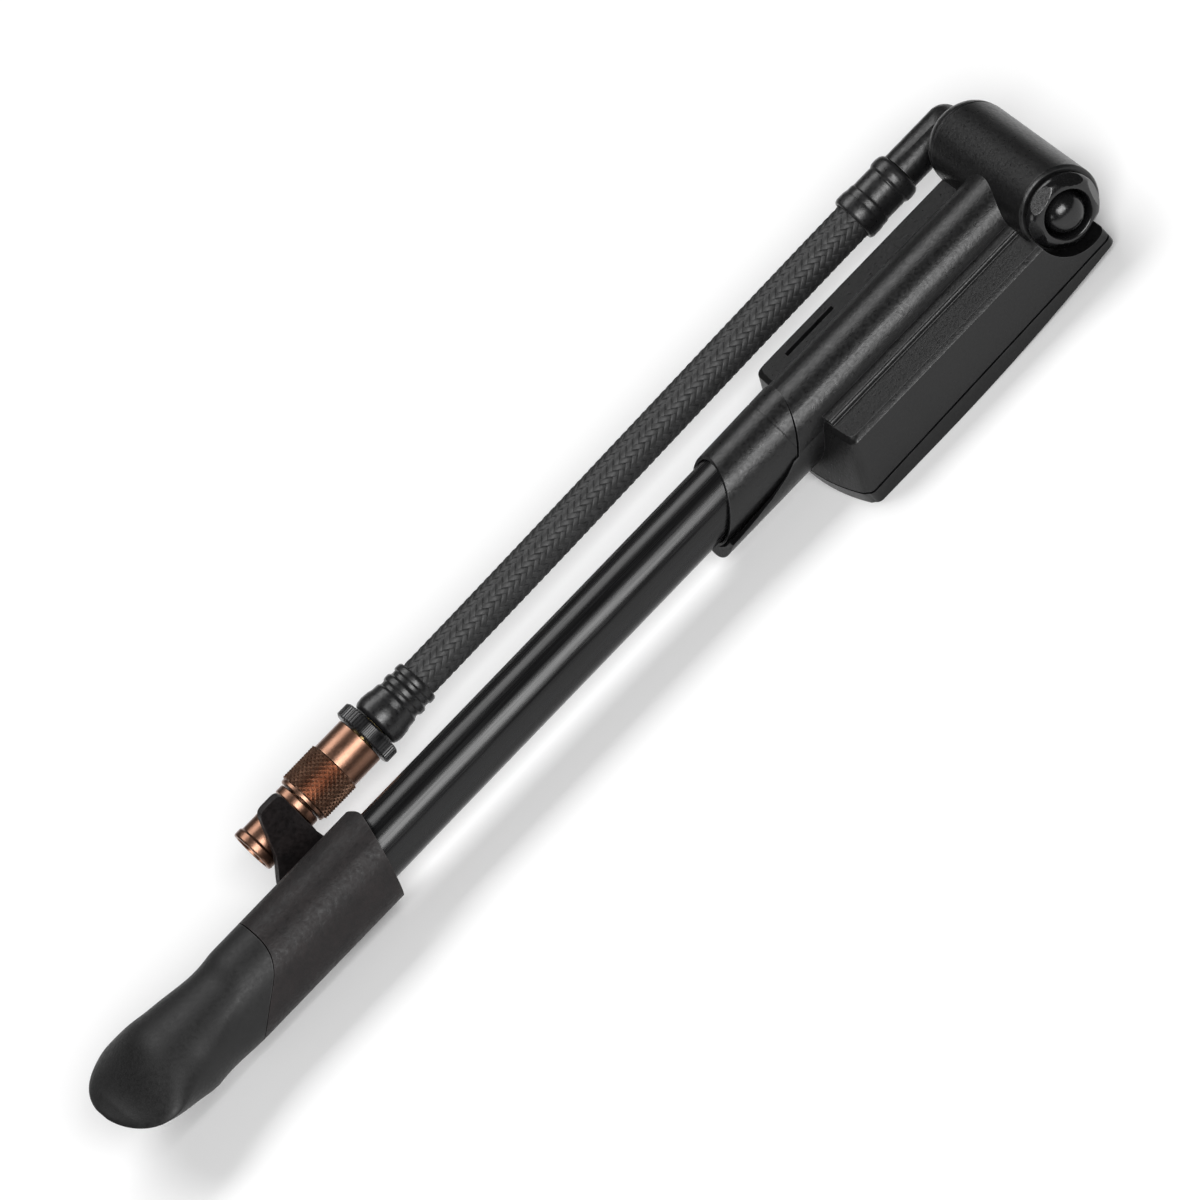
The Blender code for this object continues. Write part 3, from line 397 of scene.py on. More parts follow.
def loft(name, rings, closed=False, smooth=38.0):
    """A solid through rings of equally many points, capped unless it closes on itself."""
    count = len(rings[0])
    faces = tube_faces(len(rings), count, closed)
    if not closed:
        faces.append(tuple(range(count)))
        faces.append(tuple(range((len(rings) - 1) * count, len(rings) * count)))
    return make(name, [point for ring in rings for point in ring], faces, smooth)


def eased(profile, reach, closed=False, bends=3):
    """The profile with its corners rounded off, each over at most the given reach."""
    count = len(profile)
    points = []
    for i, corner in enumerate(profile):
        if not closed and i in (0, count - 1):
            points.append(corner)
            continue
        here = Vector(corner)
        before = Vector(profile[i - 1]) - here
        after = Vector(profile[(i + 1) % count]) - here
        turn = before.angle(-after, 0.0)
        if turn < math.radians(12):
            points.append(corner)
            continue
        start = here + before.normalized() * min(reach, before.length * 0.45)
        end = here + after.normalized() * min(reach, after.length * 0.45)
        for k in range(bends + 1):
            t = k / bends
            points.append(tuple(start * (1 - t) ** 2 + here * 2 * t * (1 - t) + end * t ** 2))
    return points


def turned(name, profile, axis="X", centre=(0.0, 0.0), ring=False, steps=SMALL_ROUND, reach=0.12, turn=0.0):
    """A turned piece from (along, radius) pairs. The centre is the other two coordinates of its axis,
    in x, y, z order. A ring's profile is a closed loop; other profiles close on the axis."""
    outline = eased(profile, reach, closed=ring) if reach else list(profile)
    rings = []
    for along, radius in outline:
        loop = []
        for i in range(steps):
            angle = 2 * math.pi * (i + turn) / steps
            a = centre[0] + max(radius, 0.001) * math.cos(angle)
            b = centre[1] + max(radius, 0.001) * math.sin(angle)
            loop.append({"X": (along, a, b), "Y": (a, along, b), "Z": (a, b, along)}[axis])
        rings.append(loop)
    return loft(name, rings, closed=ring, smooth=30.0)


def prism(name, outline, plane, low, high):
    """A flat outline drawn out along the third axis."""
    order = {"XY": (0, 1, 2), "XZ": (0, 2, 1), "YZ": (1, 2, 0)}[plane]
    rings = []
    for depth in (low, high):
        ring = []
        for first, second in outline:
            point = [0.0, 0.0, 0.0]
            point[order[0]] = first
            point[order[1]] = second
            point[order[2]] = depth
            ring.append(tuple(point))
        rings.append(ring)
    return loft(name, rings)


def block(name, low, high):
    return prism(name, [(low[0], low[1]), (high[0], low[1]), (high[0], high[1]), (low[0], high[1])], "XY",
                 low[2], high[2])


def slab(name, base, side, up, out):
    """A block on a base point, out to both sides and both ways up, and one way out."""
    ring = [base - side - up, base + side - up, base + side + up, base - side + up]
    return loft(name, [ring, [corner + out for corner in ring]])


def rod(name, axis, low, high, radius, centre, steps=ROUND, turn=0.5):
    return turned(name, [(low, 0.0), (low, radius), (high, radius), (high, 0.0)], axis, centre, steps=steps,
                  reach=0.0, turn=turn)


def combine(obj, others, operation):
    """Joins or cuts with each tool in turn, and removes the tools."""
    for other in others:
        boolean = obj.modifiers.new(other.name, "BOOLEAN")
        boolean.operation = operation
        boolean.solver = "EXACT"
        boolean.object = other
    settle(obj)
    for other in others:
        bpy.data.objects.remove(other, do_unlink=True)
    return obj


def cut(obj, *tools):
    return combine(obj, tools, "DIFFERENCE")


def join(obj, *tools):
    return combine(obj, tools, "UNION")


def soften(obj, width, segments=2, limit=32.0):
    """Small rounds on the piece's hard edges."""
    bevel = obj.modifiers.new("edges", "BEVEL")
    bevel.width = width * MM
    bevel.segments = segments
    bevel.limit_method = "ANGLE"
    bevel.angle_limit = math.radians(limit)
    bevel.harden_normals = False
    bevel.use_clamp_overlap = True
    bevel.miter_outer = "MITER_ARC"
    settle(obj)
    return flatten(obj)


def flatten(obj):
    """Keeps the shading of large flat faces flat where they run into small rounds."""
    weighted = obj.modifiers.new("flat_faces", "WEIGHTED_NORMAL")
    weighted.weight = 100
    weighted.keep_sharp = True
    return obj


def place(obj, look, body, slot, *nodes):
    """Gives a piece its material and its body, and hides the CAD nodes that it stands for; its slot argument
    is not used.
    """
    obj.data.materials.clear()
    obj.data.materials.append(LOOKS[look])
    if nodes:
        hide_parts(*nodes)
    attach(obj, body)
    return obj


def arc(centre, radius, start, end, count):
    """Points on an arc, with angles in degrees."""
    points = []
    for i in range(count + 1):
        angle = math.radians(start + (end - start) * i / count)
        points.append((centre[0] + radius * math.cos(angle), centre[1] + radius * math.sin(angle)))
    return points


def share(x, low, high):
    """How far x has come from low to high, from 0 to 1."""
    return min(1.0, max(0.0, (x - low) / (high - low)))


def smooth(part):
    """An S-curve from 0 to 1."""
    return part * part * (3 - 2 * part)


def oblique(name, x_on_axis, slope, side):
    """A big wedge with one face on the plane x = x_on_axis + slope * z, filling x on one side."""
    reach = 18.0
    far = x_on_axis + side * 60.0
    return prism(name, [(x_on_axis - slope * reach, -reach), (far, -reach), (far, reach),
                        (x_on_axis + slope * reach, reach)], "XZ", -reach, reach)


# ---------------------------------------------------------------- gauge head

def box_outline(low_x, corner_x, half_width, end_x, corner_r):
    """Plan of the gauge box: a bowed low end, straight sides, square head end, rounded corners."""
    points = []
    for side in (1, -1):
        ends = arc((end_x - corner_r, half_width - corner_r), corner_r, 0, 90, 10)
        lows = arc((corner_x + corner_r, half_width - corner_r), corner_r, 90, 165, 10)
        bow = [(low_x + (corner_x - low_x) * (y / half_width) ** 2, y)
               for y in (half_width * k / 10 for k in range(9, 0, -1))]
        run = ends + lows + bow
        if side < 0:
            run = [(x, -y) for x, y in reversed(run)]
        points += run
        if side > 0:
            points.append((low_x, 0.0))
    return points


def seam_z(x):
    """Height of the joint between the rear housing and the front cover."""
    return SEAM_LOW_Z + (x - BOX_CORNER_X) * SEAM_SLOPE


def face_z(x):
    """Height of the front cover's face, flat at the low end and bowed towards the head."""
    return FACE_Z + max(0.0, x - FACE_BOW_X) ** 2 / (2 * FACE_BOW_R)


def make_rear_housing():
    half = BOX_HALF_WIDTH - 0.5
    end = BOX_END_X - 0.2
    low = box_outline(BOX_LOW_X, BOX_CORNER_X, BOX_HALF_WIDTH, BOX_END_X, 1.5)
    rings = []
    # The rim between the plate and the sides is a chamfer with softened edges
    for inset, drop in ((1.15, 0.0), (1.0, -0.06), (0.12, -0.82), (0.0, -1.05)):
        outline = box_outline(PLATE_LOW_X + inset, PLATE_LOW_X + 0.6 + inset, half - inset, end - inset, 1.5)
        rings.append([(x, y, drop) for x, y in outline])
    rings.append([(x, y, seam_z(x) + 0.3) for x, y in low])
    rings.append([(x + 0.2 * math.copysign(1, 220 - x), y * 0.99, seam_z(x)) for x, y in low])
    housing = loft("rear_housing_fine", rings)

    edge = STEP_HALF_WIDTH - STEP_ROUND
    foot = arc((STEP_HALF_WIDTH + 0.25, 0.25), 0.25, 180, 270, 4)
    side = arc((edge, STEP_Z - STEP_ROUND), STEP_ROUND, 90, 0, 8) + foot + [(STEP_HALF_WIDTH + 0.25, -1.5)]
    outline = side + [(-y, z) for y, z in reversed(side)]
    step = prism("step", outline, "YZ", 192.5, 248.0)
    spine_profile = [(176.0, 0.0), (176.0, SPINE_R), (CROSS_X - 3, SPINE_R), (CROSS_X - 3, 0.0)]
    spine = turned("spine", spine_profile, steps=ROUND, reach=0.0, turn=0.5)
    for vert in spine.data.vertices:
        vert.co.z = ORIGIN.z + (vert.co.z - ORIGIN.z) * SPINE_FLAT
    cut(spine, oblique("spine_end", COLLAR_HIGH_X + GAP, COLLAR_SLOPE, -1))
    cross = turned("cross", [(CROSS_Y[1], 0.0), (CROSS_Y[1], CROSS_R), (CROSS_Y[0] + 0.5, CROSS_R),
                             (CROSS_Y[0], CROSS_R - 0.5), (CROSS_Y[0], 0.0)],
                   "Y", (CROSS_X, 0.0), steps=ROUND, reach=0.15, turn=0.25)
    keel = rod("keel", "X", 158.0, 192.4, KEEL_R, (0.0, KEEL_Z), turn=0.3)
    edge = [(150, -6.2), (165, -6.0), (170, -5.3), (175, -4.4), (180, -2.9), (184.6, -0.6), (200, -0.5),
            (200, 12), (150, 12)]
    room = rod("collar_room", "X", 150.0, COLLAR_HIGH_X + 7.3, COLLAR_R[1] + 0.25, (0.0, 0.0))
    cut(room, oblique("room_end", COLLAR_HIGH_X + GAP, COLLAR_SLOPE, 1))
    cut(keel, oblique("keel_end", COLLAR_LOW_X + 0.8, COLLAR_SLOPE, -1),
        prism("keel_edge", edge, "XZ", -16, 16), room)
    join(housing, step, spine, keel, cross)
    cut(housing,
        block("gauge_room", (PLATE_LOW_X + 3.0, -BOX_HALF_WIDTH + WALL, -20.0),
              (242.0, BOX_HALF_WIDTH - WALL, -3.2)),
        rod("nut_recess", "Y", -30.0, CROSS_Y[0] - 0.1, NUT_RECESS_R, (CROSS_X, 0.0), turn=0.1),
        rod("cap_recess", "Y", CROSS_Y[1] + 0.1, 30.0, CROSS_R + 0.4, (CROSS_X, 0.0), turn=0.1),
        rod("barrel_bore", "X", 150.0, BARREL_X[1] + GAP, BARREL_R + GAP, (0.0, 0.0), turn=0.2),
        rod("elbow_bore", "Y", CROSS_WEB, 30.0, CROSS_BORE_R, (CROSS_X, 0.0), turn=0.4),
        rod("bleed_bore", "Y", -30.0, -CROSS_WEB, CROSS_BORE_R, (CROSS_X, 0.0), turn=0.4),
        rod("bleed_port", "Y", -3.3, 3.3, 1.9, (CROSS_X, 0.0), steps=TINY_ROUND),
        block("flange_slot", (198.0, 14.4, -5.0), (211.0, 15.7, 3.0)))
    soften(housing, 0.22)
    place(housing, "housing_plastic", "head", "housing_plastic", "rear_housing")


def make_front_cover():
    outline = box_outline(BOX_LOW_X, BOX_CORNER_X, BOX_HALF_WIDTH, BOX_END_X, 1.5)
    cover = loft("front_cover_fine", [[(x, y, seam_z(x) - 0.25) for x, y in outline],
                                      [(x, y, FACE_Z) for x, y in outline]])
    bow_xs = [FACE_BOW_X + (BOX_END_X + 4 - FACE_BOW_X) * i / 40 for i in range(41)]
    outside = [(x, face_z(x)) for x in bow_xs] + [(BOX_END_X + 4, -30), (FACE_BOW_X, -30)]
    end_x = BOX_END_X - COVER_WALL
    inner = [(188.6, face_z(188.6) + COVER_WALL)]
    inner += [(x, face_z(x) + COVER_WALL) for x in bow_xs if x < end_x]
    inner += [(end_x, face_z(end_x) + COVER_WALL), (end_x, 0.0), (188.6, 0.0)]
    cut(cover, prism("face_bow", outside, "XZ", -30, 30),
        prism("cover_room", inner, "XZ", -BOX_HALF_WIDTH + WALL, BOX_HALF_WIDTH - WALL),
        block("window_hole", (WINDOW_X[0], -WINDOW_HALF_WIDTH, -30), (WINDOW_X[1], WINDOW_HALF_WIDTH, 0)),
        rod("button_hole", "Z", -30.0, 0.0, BUTTON_R + GAP, (BUTTON_X, 0.0), steps=SMALL_ROUND))
    soften(cover, 0.35)
    place(cover, "cover_plastic", "head", "cover_plastic", "front_cover")


def make_collar():
    low, high = COLLAR_R
    line_x = COLLAR_HIGH_X + 0.1
    line_r = low + (high - low) * (line_x - 158.0) / (192.0 - 158.0)
    collar = turned("barrel_collar_fine", [(192.0, high), (line_x + 0.2, line_r), (line_x, line_r - 0.12),
                                           (line_x - 0.2, line_r), (158.0, low), (158.0, BARREL_R + GAP),
                                           (192.0, BARREL_R + GAP)], ring=True, steps=ROUND, reach=0.0)
    cut(collar, oblique("collar_mouth", COLLAR_LOW_X, COLLAR_SLOPE, -1),
        oblique("collar_back", COLLAR_HIGH_X, COLLAR_SLOPE, 1))
    soften(collar, 0.15)
    place(collar, "housing_plastic", "head", "housing_plastic", "barrel_collar")


def make_barrel():
    low, high = BARREL_X
    tube = turned("barrel_tube_fine", [(high, BARREL_R), (low, BARREL_R), (low, BARREL_BORE_R),
                                       (high, BARREL_BORE_R)], ring=True, steps=ROUND, reach=0.3)
    place(tube, "anodised_black", "head", "anodised_black", "barrel_tube")


def make_bleed_valve():
    face = CROSS_Y[0] - GAP
    nut = turned("bleed_nut_fine", [(-8.0, 2.2), (-8.0, 5.0), (face, 5.0), (face, 7.9), (face - 1.2, 7.9),
                                    (face - 2.3, 7.2), (face - 2.9, 5.9), (face - 2.9, 5.3),
                                    (face - 1.7, 4.8), (-10.0, 4.8), (-10.0, 2.2)],
                 "Y", (CROSS_X, 0.0), ring=True, steps=ROUND, reach=0.5)
    lean = math.radians(NUT_FACET_LEAN)
    facets = []
    for i in range(6):
        angle = math.radians(60 * i + 12)
        outward = Vector((math.cos(angle), 0, -math.sin(angle)))
        normal = outward * math.cos(lean) + Vector((0, -1, 0)) * math.sin(lean)
        uphill = outward * -math.sin(lean) + Vector((0, -1, 0)) * math.cos(lean)
        sideways = normal.cross(uphill)
        base = Vector((CROSS_X, face, 0)) + normal * NUT_FACET_R
        facets.append(slab("facet_%d" % i, base, sideways * 4.5, uphill * 6.0, normal * 5.0))
    cut(nut, *facets)
    soften(nut, 0.12)
    place(nut, "black_metal", "head", "black_metal", "bleed_nut")

    dome = [(-15.9 - 4.0 * math.sin(a * math.pi / 40), BLEED_DOME_R * math.cos(a * math.pi / 40))
            for a in range(21)]
    stem = [(5.5, 0.0), (5.5, BLEED_STEM_R), (4.9, BLEED_STEM_R), (4.9, 0.9), (CROSS_WEB, 0.9),
            (CROSS_WEB, BLEED_STEM_R), (-14.2, BLEED_STEM_R), (-14.2, BLEED_DOME_R)]
    button = turned("bleed_button_fine", stem + dome, "Y", (CROSS_X, 0.0), steps=SMALL_ROUND)
    place(button, "black_metal", "bleed", "black_metal", "bleed_button")


def make_gauge_front():
    mid_x = sum(WINDOW_X) / 2
    tilt = (mid_x - FACE_BOW_X) / FACE_BOW_R
    half = (WINDOW_X[1] - WINDOW_X[0]) / 2 - GAP
    pane_z = face_z(mid_x) + 1.0
    corners = [(mid_x + s * half * math.cos(tilt) - t * 0.6 * math.sin(tilt),
                pane_z + s * half * math.sin(tilt) + t * 0.6 * math.cos(tilt))
               for s, t in ((-1, -1), (1, -1), (1, 1), (-1, 1))]
    pane = prism("display_window_fine", corners, "XZ", -WINDOW_HALF_WIDTH + GAP, WINDOW_HALF_WIDTH - GAP)
    soften(pane, 0.2)
    place(pane, "window_glass", "head", "window_glass", "display_window")
    top = [(-10.2, 0.0), (-10.2, 1.6), (-12.2, 1.6), (-12.2, BUTTON_R + 0.9), (-12.8, BUTTON_R + 0.9),
           (-12.8, BUTTON_R), (FACE_Z + 0.1, BUTTON_R), (FACE_Z + 0.1, BUTTON_R - 0.5),
           (FACE_Z + 0.5, BUTTON_R - 1.2), (FACE_Z + 0.6, 0.0)]
    button = turned("mode_button_fine", top, "Z", (BUTTON_X, 0.0), steps=SMALL_ROUND, reach=0.2)
    place(button, "rubber", "mode", "rubber", "mode_button")


# ---------------------------------------------------------------- handle

def paddle_half_width(x):
    """Half-width of the flared end: a round end, then a hollow narrowing to the grip."""
    if x < PADDLE_END_LENGTH:
        reach = (PADDLE_END_LENGTH - x) / PADDLE_END_LENGTH
        return PADDLE_HALF_WIDTH * math.sqrt(max(0.0, 1.0 - reach ** 2))
    past = (x - PADDLE_END_LENGTH) / PADDLE_NARROWING
    return HANDLE_R + (PADDLE_HALF_WIDTH - HANDLE_R) / (1.0 + past ** 1.9)


def crease(x, height):
    """How far the top sinks between the eaves and the rounded shoulder, for the cosine of the angle
    from the very top. Its side edges climb from the eaves to the shoulder's corners."""
    along = smooth(share(x, 14.0, 25.0)) * (1 - smooth(share(x, *CREASE_X)))
    edge = math.cos(math.radians(82.0 - 27.0 * share(x, 20.0, CREASE_X[0])))
    return CREASE_DEPTH * along * share(height, edge, 1.0)


def paddle_section(x, count=60):
    """Points round the flared end at x: a dome above a sharp eave, and a belly below it that is
    lens-shaped at the nose and round towards the grip."""
    nose = math.sqrt(share(x, 0.0, PADDLE_NOSE_X))
    top = PADDLE_TOP[0] * nose + PADDLE_TOP[1] * smooth(share(x, 0.0, PADDLE_TOP[2]))
    fall = 1.0 - (1.0 - share(x, 0.0, PADDLE_BELLY[2])) ** 1.25
    belly = PADDLE_BELLY[0] * nose + PADDLE_BELLY[1] * fall
    fullness = 2.0 - 0.85 * share(x, *LENS_X)
    roundness = 1.35 - 0.35 * share(x, 12.0, 30.0)
    eave_z = EAVE_Z + EAVE_LIFT * (1.0 - share(x, 0.0, 8.0)) ** 2
    blend = smooth(share(x, *PADDLE_BLEND_X))
    width = paddle_half_width(x)
    circle_eave = math.asin((EAVE_Z - HANDLE_Z) / HANDLE_R)
    points = []
    for i in range(count):
        angle = math.pi * i / count
        flared = (width * math.cos(angle), eave_z + top * math.sin(angle) ** roundness)
        turn = circle_eave + (math.pi - 2 * circle_eave) * i / count
        plain = (HANDLE_R * math.cos(turn), HANDLE_Z + HANDLE_R * math.sin(turn))
        y, z = (flared[k] * (1 - blend) + plain[k] * blend for k in (0, 1))
        reach = math.hypot(y, z - HANDLE_Z)
        keep = 1.0 - crease(x, (z - HANDLE_Z) / reach) / reach
        points.append((y * keep, HANDLE_Z + (z - HANDLE_Z) * keep))
    for i in range(count):
        angle = math.pi * i / count
        flared = (-width * math.cos(angle), eave_z - belly * math.sin(angle) ** fullness)
        turn = math.pi - circle_eave + (math.pi + 2 * circle_eave) * i / count
        plain = (HANDLE_R * math.cos(turn), HANDLE_Z + HANDLE_R * math.sin(turn))
        points.append(tuple(flared[k] * (1 - blend) + plain[k] * blend for k in (0, 1)))
    return [(x, y, z) for y, z in points]


def seam_x(z):
    """The seam between paddle and grip: square to the handle at the top, leaning back below."""
    if z > SEAM_TURN_Z:
        return SEAM_X - SEAM_BEND * (SEAM_TOP_Z - z) ** 2
    start = SEAM_X - SEAM_BEND * (SEAM_TOP_Z - SEAM_TURN_Z) ** 2
    slope = 2 * SEAM_BEND * (SEAM_TOP_Z - SEAM_TURN_Z)
    down = SEAM_TURN_Z - z
    reach = SEAM_TURN_Z - SEAM_FOOT_Z
    return start - slope * down * (1.0 - down / (2.1 * reach))


def seam_side(name, shift, side):
    """The wedge of space on one side of the joint between paddle and grip."""
    curve = [(SEAM_X + shift, 16.0)]
    curve += [(seam_x(z) + shift, z) for z in (SEAM_TOP_Z - 0.4 * i for i in range(49))]
    curve.append((curve[-1][0] - 0.5, -16.0))
    far = 90.0 if side > 0 else -20.0
    return prism(name, curve + [(far, -16.0), (far, 16.0)], "XZ", -20, 20)


def mouth_side():
    """The space past the grip's mouth, an oblique cut that falls away at its upper far corner. It is
    drawn in a plane turned about the handle's axis, so that the corner is where the clip stands."""
    heights = [-16.0 + 0.4 * i for i in range(81)]
    outline = [(HANDLE_MOUTH_X + MOUTH_SLOPE * h - MOUTH_CORNER_DEPTH * share(h, *MOUTH_CORNER) ** 2, h)
               for h in heights]
    tool = prism("grip_mouth", outline + [(120.0, 16.0), (120.0, -16.0)], "XZ", -24, 24)
    turn = Matrix.Translation(ORIGIN) @ Matrix.Rotation(-MOUTH_TURN, 4, "X") @ Matrix.Translation(-ORIGIN)
    tool.data.transform(turn)
    return tool


def make_handle():
    stations = [0.12, 0.3, 0.6]
    stations += [10.0 * (k / 24) ** 1.6 for k in range(5, 25)]
    stations += [10.0 + 0.8 * k for k in range(1, 28)]
    stations += [32.6 + 0.35 * k for k in range(17)]
    stations += [40.0, 44.0, 48.0]
    end = loft("handle_end_fine", [paddle_section(x) for x in stations])
    cut(end, seam_side("end_side", 0.0, 1))
    join(end, rod("end_spigot", "X", 30.0, SPIGOT_END_X, SPIGOT_R, (0.0, 0.0)))
    cut(end, rod("rod_socket", "X", ROD_X[0] - GAP, 60.0, ROD_R + GAP, (0.0, 0.0), steps=SMALL_ROUND),
        rod("pin_hole", "Y", -9.0, 9.0, 1.3, (PIN_X, 0.0), steps=TINY_ROUND))
    place(end, "handle_plastic", "handle", "handle_plastic", "handle_end")

    grip = rod("handle_grip_fine", "X", 28.0, 80.0, HANDLE_R, (0.0, HANDLE_Z))
    cut(grip, seam_side("grip_side", 0.25, -1))
    wall = prism("clip_wall", eased([(56.8, -5.6), (59.1, -2.0), (60.2, 0.0), (63.0, 9.2), (64.0, CLIP_TOP_Z),
                                     (68.2, CLIP_TOP_Z), (69.0, 9.2), (CLIP_X[1], -6.6), (56.6, -6.6)],
                                    1.0, closed=True, bends=5), "XZ",
                 CHUCK_Y - CLIP_OUTER_R, CHUCK_Y - CLIP_INNER_R)
    web = prism("clip_web", [(56.0, 5.0), (57.0, 12.0), (59.5, 21.0), (61.0, CHUCK_Y), (CLIP_X[1], CHUCK_Y),
                             (70.2, 12.0), (71.0, 5.0)], "XY", -CLIP_OUTER_R, -CLIP_INNER_R + 0.2)
    seat = rod("clip_seat", "X", CLIP_X[0], CLIP_X[1], CLIP_OUTER_R, (CHUCK_Y, 0.0))
    cut(seat, block("seat_top", (50, CHUCK_Y - 2, 0), (80, 50, 20)),
        block("seat_side", (50, 10, -1), (80, CHUCK_Y - 1, 20)))
    join(grip, web, seat, wall)
    cut(grip, rod("clip_hollow", "X", 50.0, 80.0, CLIP_INNER_R, (CHUCK_Y, 0.0)),
        block("clip_mouth", (50, CHUCK_Y - CLIP_INNER_R, 0), (80, 50, 20)),
        rod("grip_bore", "X", 20.0, 90.0, HANDLE_BORE_R, (0.0, 0.0), turn=0.2),
        mouth_side())
    soften(grip, 0.25)
    place(grip, "grip_plastic", "handle", "grip_plastic", "handle_grip")


def make_rod():
    neck_r = ROD_R - 0.6
    shaft = turned("piston_rod_fine", [(ROD_X[1], 0.0), (ROD_X[1], neck_r), (PISTON_LOW_X - GAP, neck_r),
                                       (PISTON_LOW_X - GAP, ROD_R), (ROD_X[0], ROD_R), (ROD_X[0], 0.0)])
    cut(shaft, rod("rod_pin_hole", "Y", -5.0, 5.0, 1.2, (PIN_X, 0.0), steps=TINY_ROUND))
    place(shaft, "steel", "handle", "steel", "piston_rod")


# ---------------------------------------------------------------- hose and chuck

def hose_y(x):
    """The hose's centre line, a shallow curve from the chuck's axis to the elbow's pipe."""
    return CHUCK_Y + (ELBOW_Y - CHUCK_Y) * smooth(share(x, *HOSE_X))


def make_elbow():
    ball = [(ELBOW_Y + PIPE_R * math.sin(a * math.pi / 40), PIPE_R * math.cos(a * math.pi / 40))
            for a in range(20, -1, -1)]
    cap = [(24.6, PIPE_R), (23.9, 4.7), (23.6, 6.0), (22.6, 7.6), (21.0, 8.6), (19.1, CROSS_R)]
    spigot = [(19.1, 5.0), (16.4, 5.0), (16.4, 4.0), (14.6, 4.0), (14.6, 5.0), (12.0, 5.0), (12.0, 4.0),
              (10.2, 4.0), (10.2, 5.0), (SPIGOT_LOW_Y, 5.0), (SPIGOT_LOW_Y, 0.0)]
    elbow = turned("hose_elbow_fine", ball + cap + spigot, "Y", (CROSS_X, 0.0), steps=ROUND, reach=0.8)
    join(elbow, rod("elbow_pipe", "X", PIPE_LOW_X, CROSS_X, PIPE_R, (ELBOW_Y, 0.0)),
         rod("elbow_barb", "X", BARB_LOW_X, CROSS_X, HOSE_BORE_R - GAP, (ELBOW_Y, 0.0), steps=SMALL_ROUND))
    cut(elbow, rod("elbow_air_y", "Y", 0.0, ELBOW_Y + 0.9, 1.2, (CROSS_X, 0.0), steps=TINY_ROUND),
        rod("elbow_air_x", "X", 220.0, CROSS_X + 0.9, 1.1, (ELBOW_Y, 0.0), steps=TINY_ROUND))
    place(elbow, "housing_plastic", "hose_arm", "housing_plastic", "hose_elbow")


def make_ferrules():
    inner = 4.2
    upper = [(240.0, 4.5), (239.4, 4.9), (238.3, 5.1), (237.0, 5.0), (236.5, 4.6), (236.2, 4.7), (231.9, 4.7),
             (231.6, 4.9), (230.2, 4.9), (229.9, 5.0), (229.2, 5.1), (227.6, 5.1), (226.9, 4.8)]
    piece = turned("upper_ferrule_fine", upper + [(226.9, inner), (240.0, inner)], "X", (ELBOW_Y, 0.0),
                   ring=True, reach=0.3)
    place(piece, "ferrule_metal", "hose_arm", "black_metal", "upper_ferrule")
    lower = [(104.2, 4.6), (103.6, 4.85), (102.6, 4.85), (102.4, 4.5), (101.4, 4.5), (101.0, 5.0),
             (99.8, 5.0), (99.4, 4.6), (98.6, 4.6), (98.2, 5.0), (96.6, 5.1), (95.6, 5.4), (94.0, 5.55),
             (92.7, 5.4), (92.0, 4.9), (92.0, 3.0), (94.6, 3.0), (94.6, inner), (104.2, inner)]
    piece = turned("lower_ferrule_fine", lower, "X", (CHUCK_Y, 0.0), ring=True, reach=0.3)
    place(piece, "ferrule_metal", "hose_arm", "black_metal", "lower_ferrule")


def make_hose():
    rings = []
    count = 48
    for k in range(61):
        x = HOSE_X[0] + (HOSE_X[1] - HOSE_X[0]) * k / 60
        rings.append((x, HOSE_CORE_R))
    outline = rings + [(x, HOSE_BORE_R) for x, _ in reversed(rings)]
    loops = []
    for x, radius in outline:
        loops.append([(x, hose_y(x) + radius * math.cos(2 * math.pi * i / count),
                       radius * math.sin(2 * math.pi * i / count)) for i in range(count)])
    core = loft("hose_core", loops, closed=True)
    place(core, "hose_core", "hose_arm", "braided_hose", "hose")

    # Each crossing lies BRAID_PITCH further along; a ribbon turns half a strand's spacing in that length
    twist = math.pi / (BRAID_STRANDS * BRAID_PITCH)
    lean = math.hypot(1.0, twist * BRAID_R)
    sections = int((BRAID_X[1] - BRAID_X[0]) / BRAID_PITCH * 3)
    width = len(RIBBON)
    verts = []
    faces = []
    for way in (1, -1):
        for strand in range(BRAID_STRANDS):
            base = len(verts)
            for k in range(sections + 1):
                x = BRAID_X[0] + (BRAID_X[1] - BRAID_X[0]) * k / sections
                turn = 2 * math.pi * strand / BRAID_STRANDS + way * twist * x
                crossing = 2 * strand + way * x / BRAID_PITCH
                lift = way * math.cos(math.pi / 2 * (crossing - 0.5))
                for across, height in RIBBON:
                    along = x - way * across * twist * BRAID_R / lean
                    angle = turn + across / (lean * BRAID_R)
                    radius = BRAID_R + BRAID_WAVE * lift + height
                    verts.append((along, hose_y(x) + radius * math.cos(angle), radius * math.sin(angle)))
            faces += [tuple(base + i for i in face) for face in tube_faces(sections + 1, width, False)]
            faces.append(tuple(base + i for i in range(width)))
            faces.append(tuple(base + sections * width + i for i in range(width)))
    braid = make("hose_braid", verts, faces, smooth=75.0)
    place(braid, "braided_hose", "hose_arm", "braided_hose")


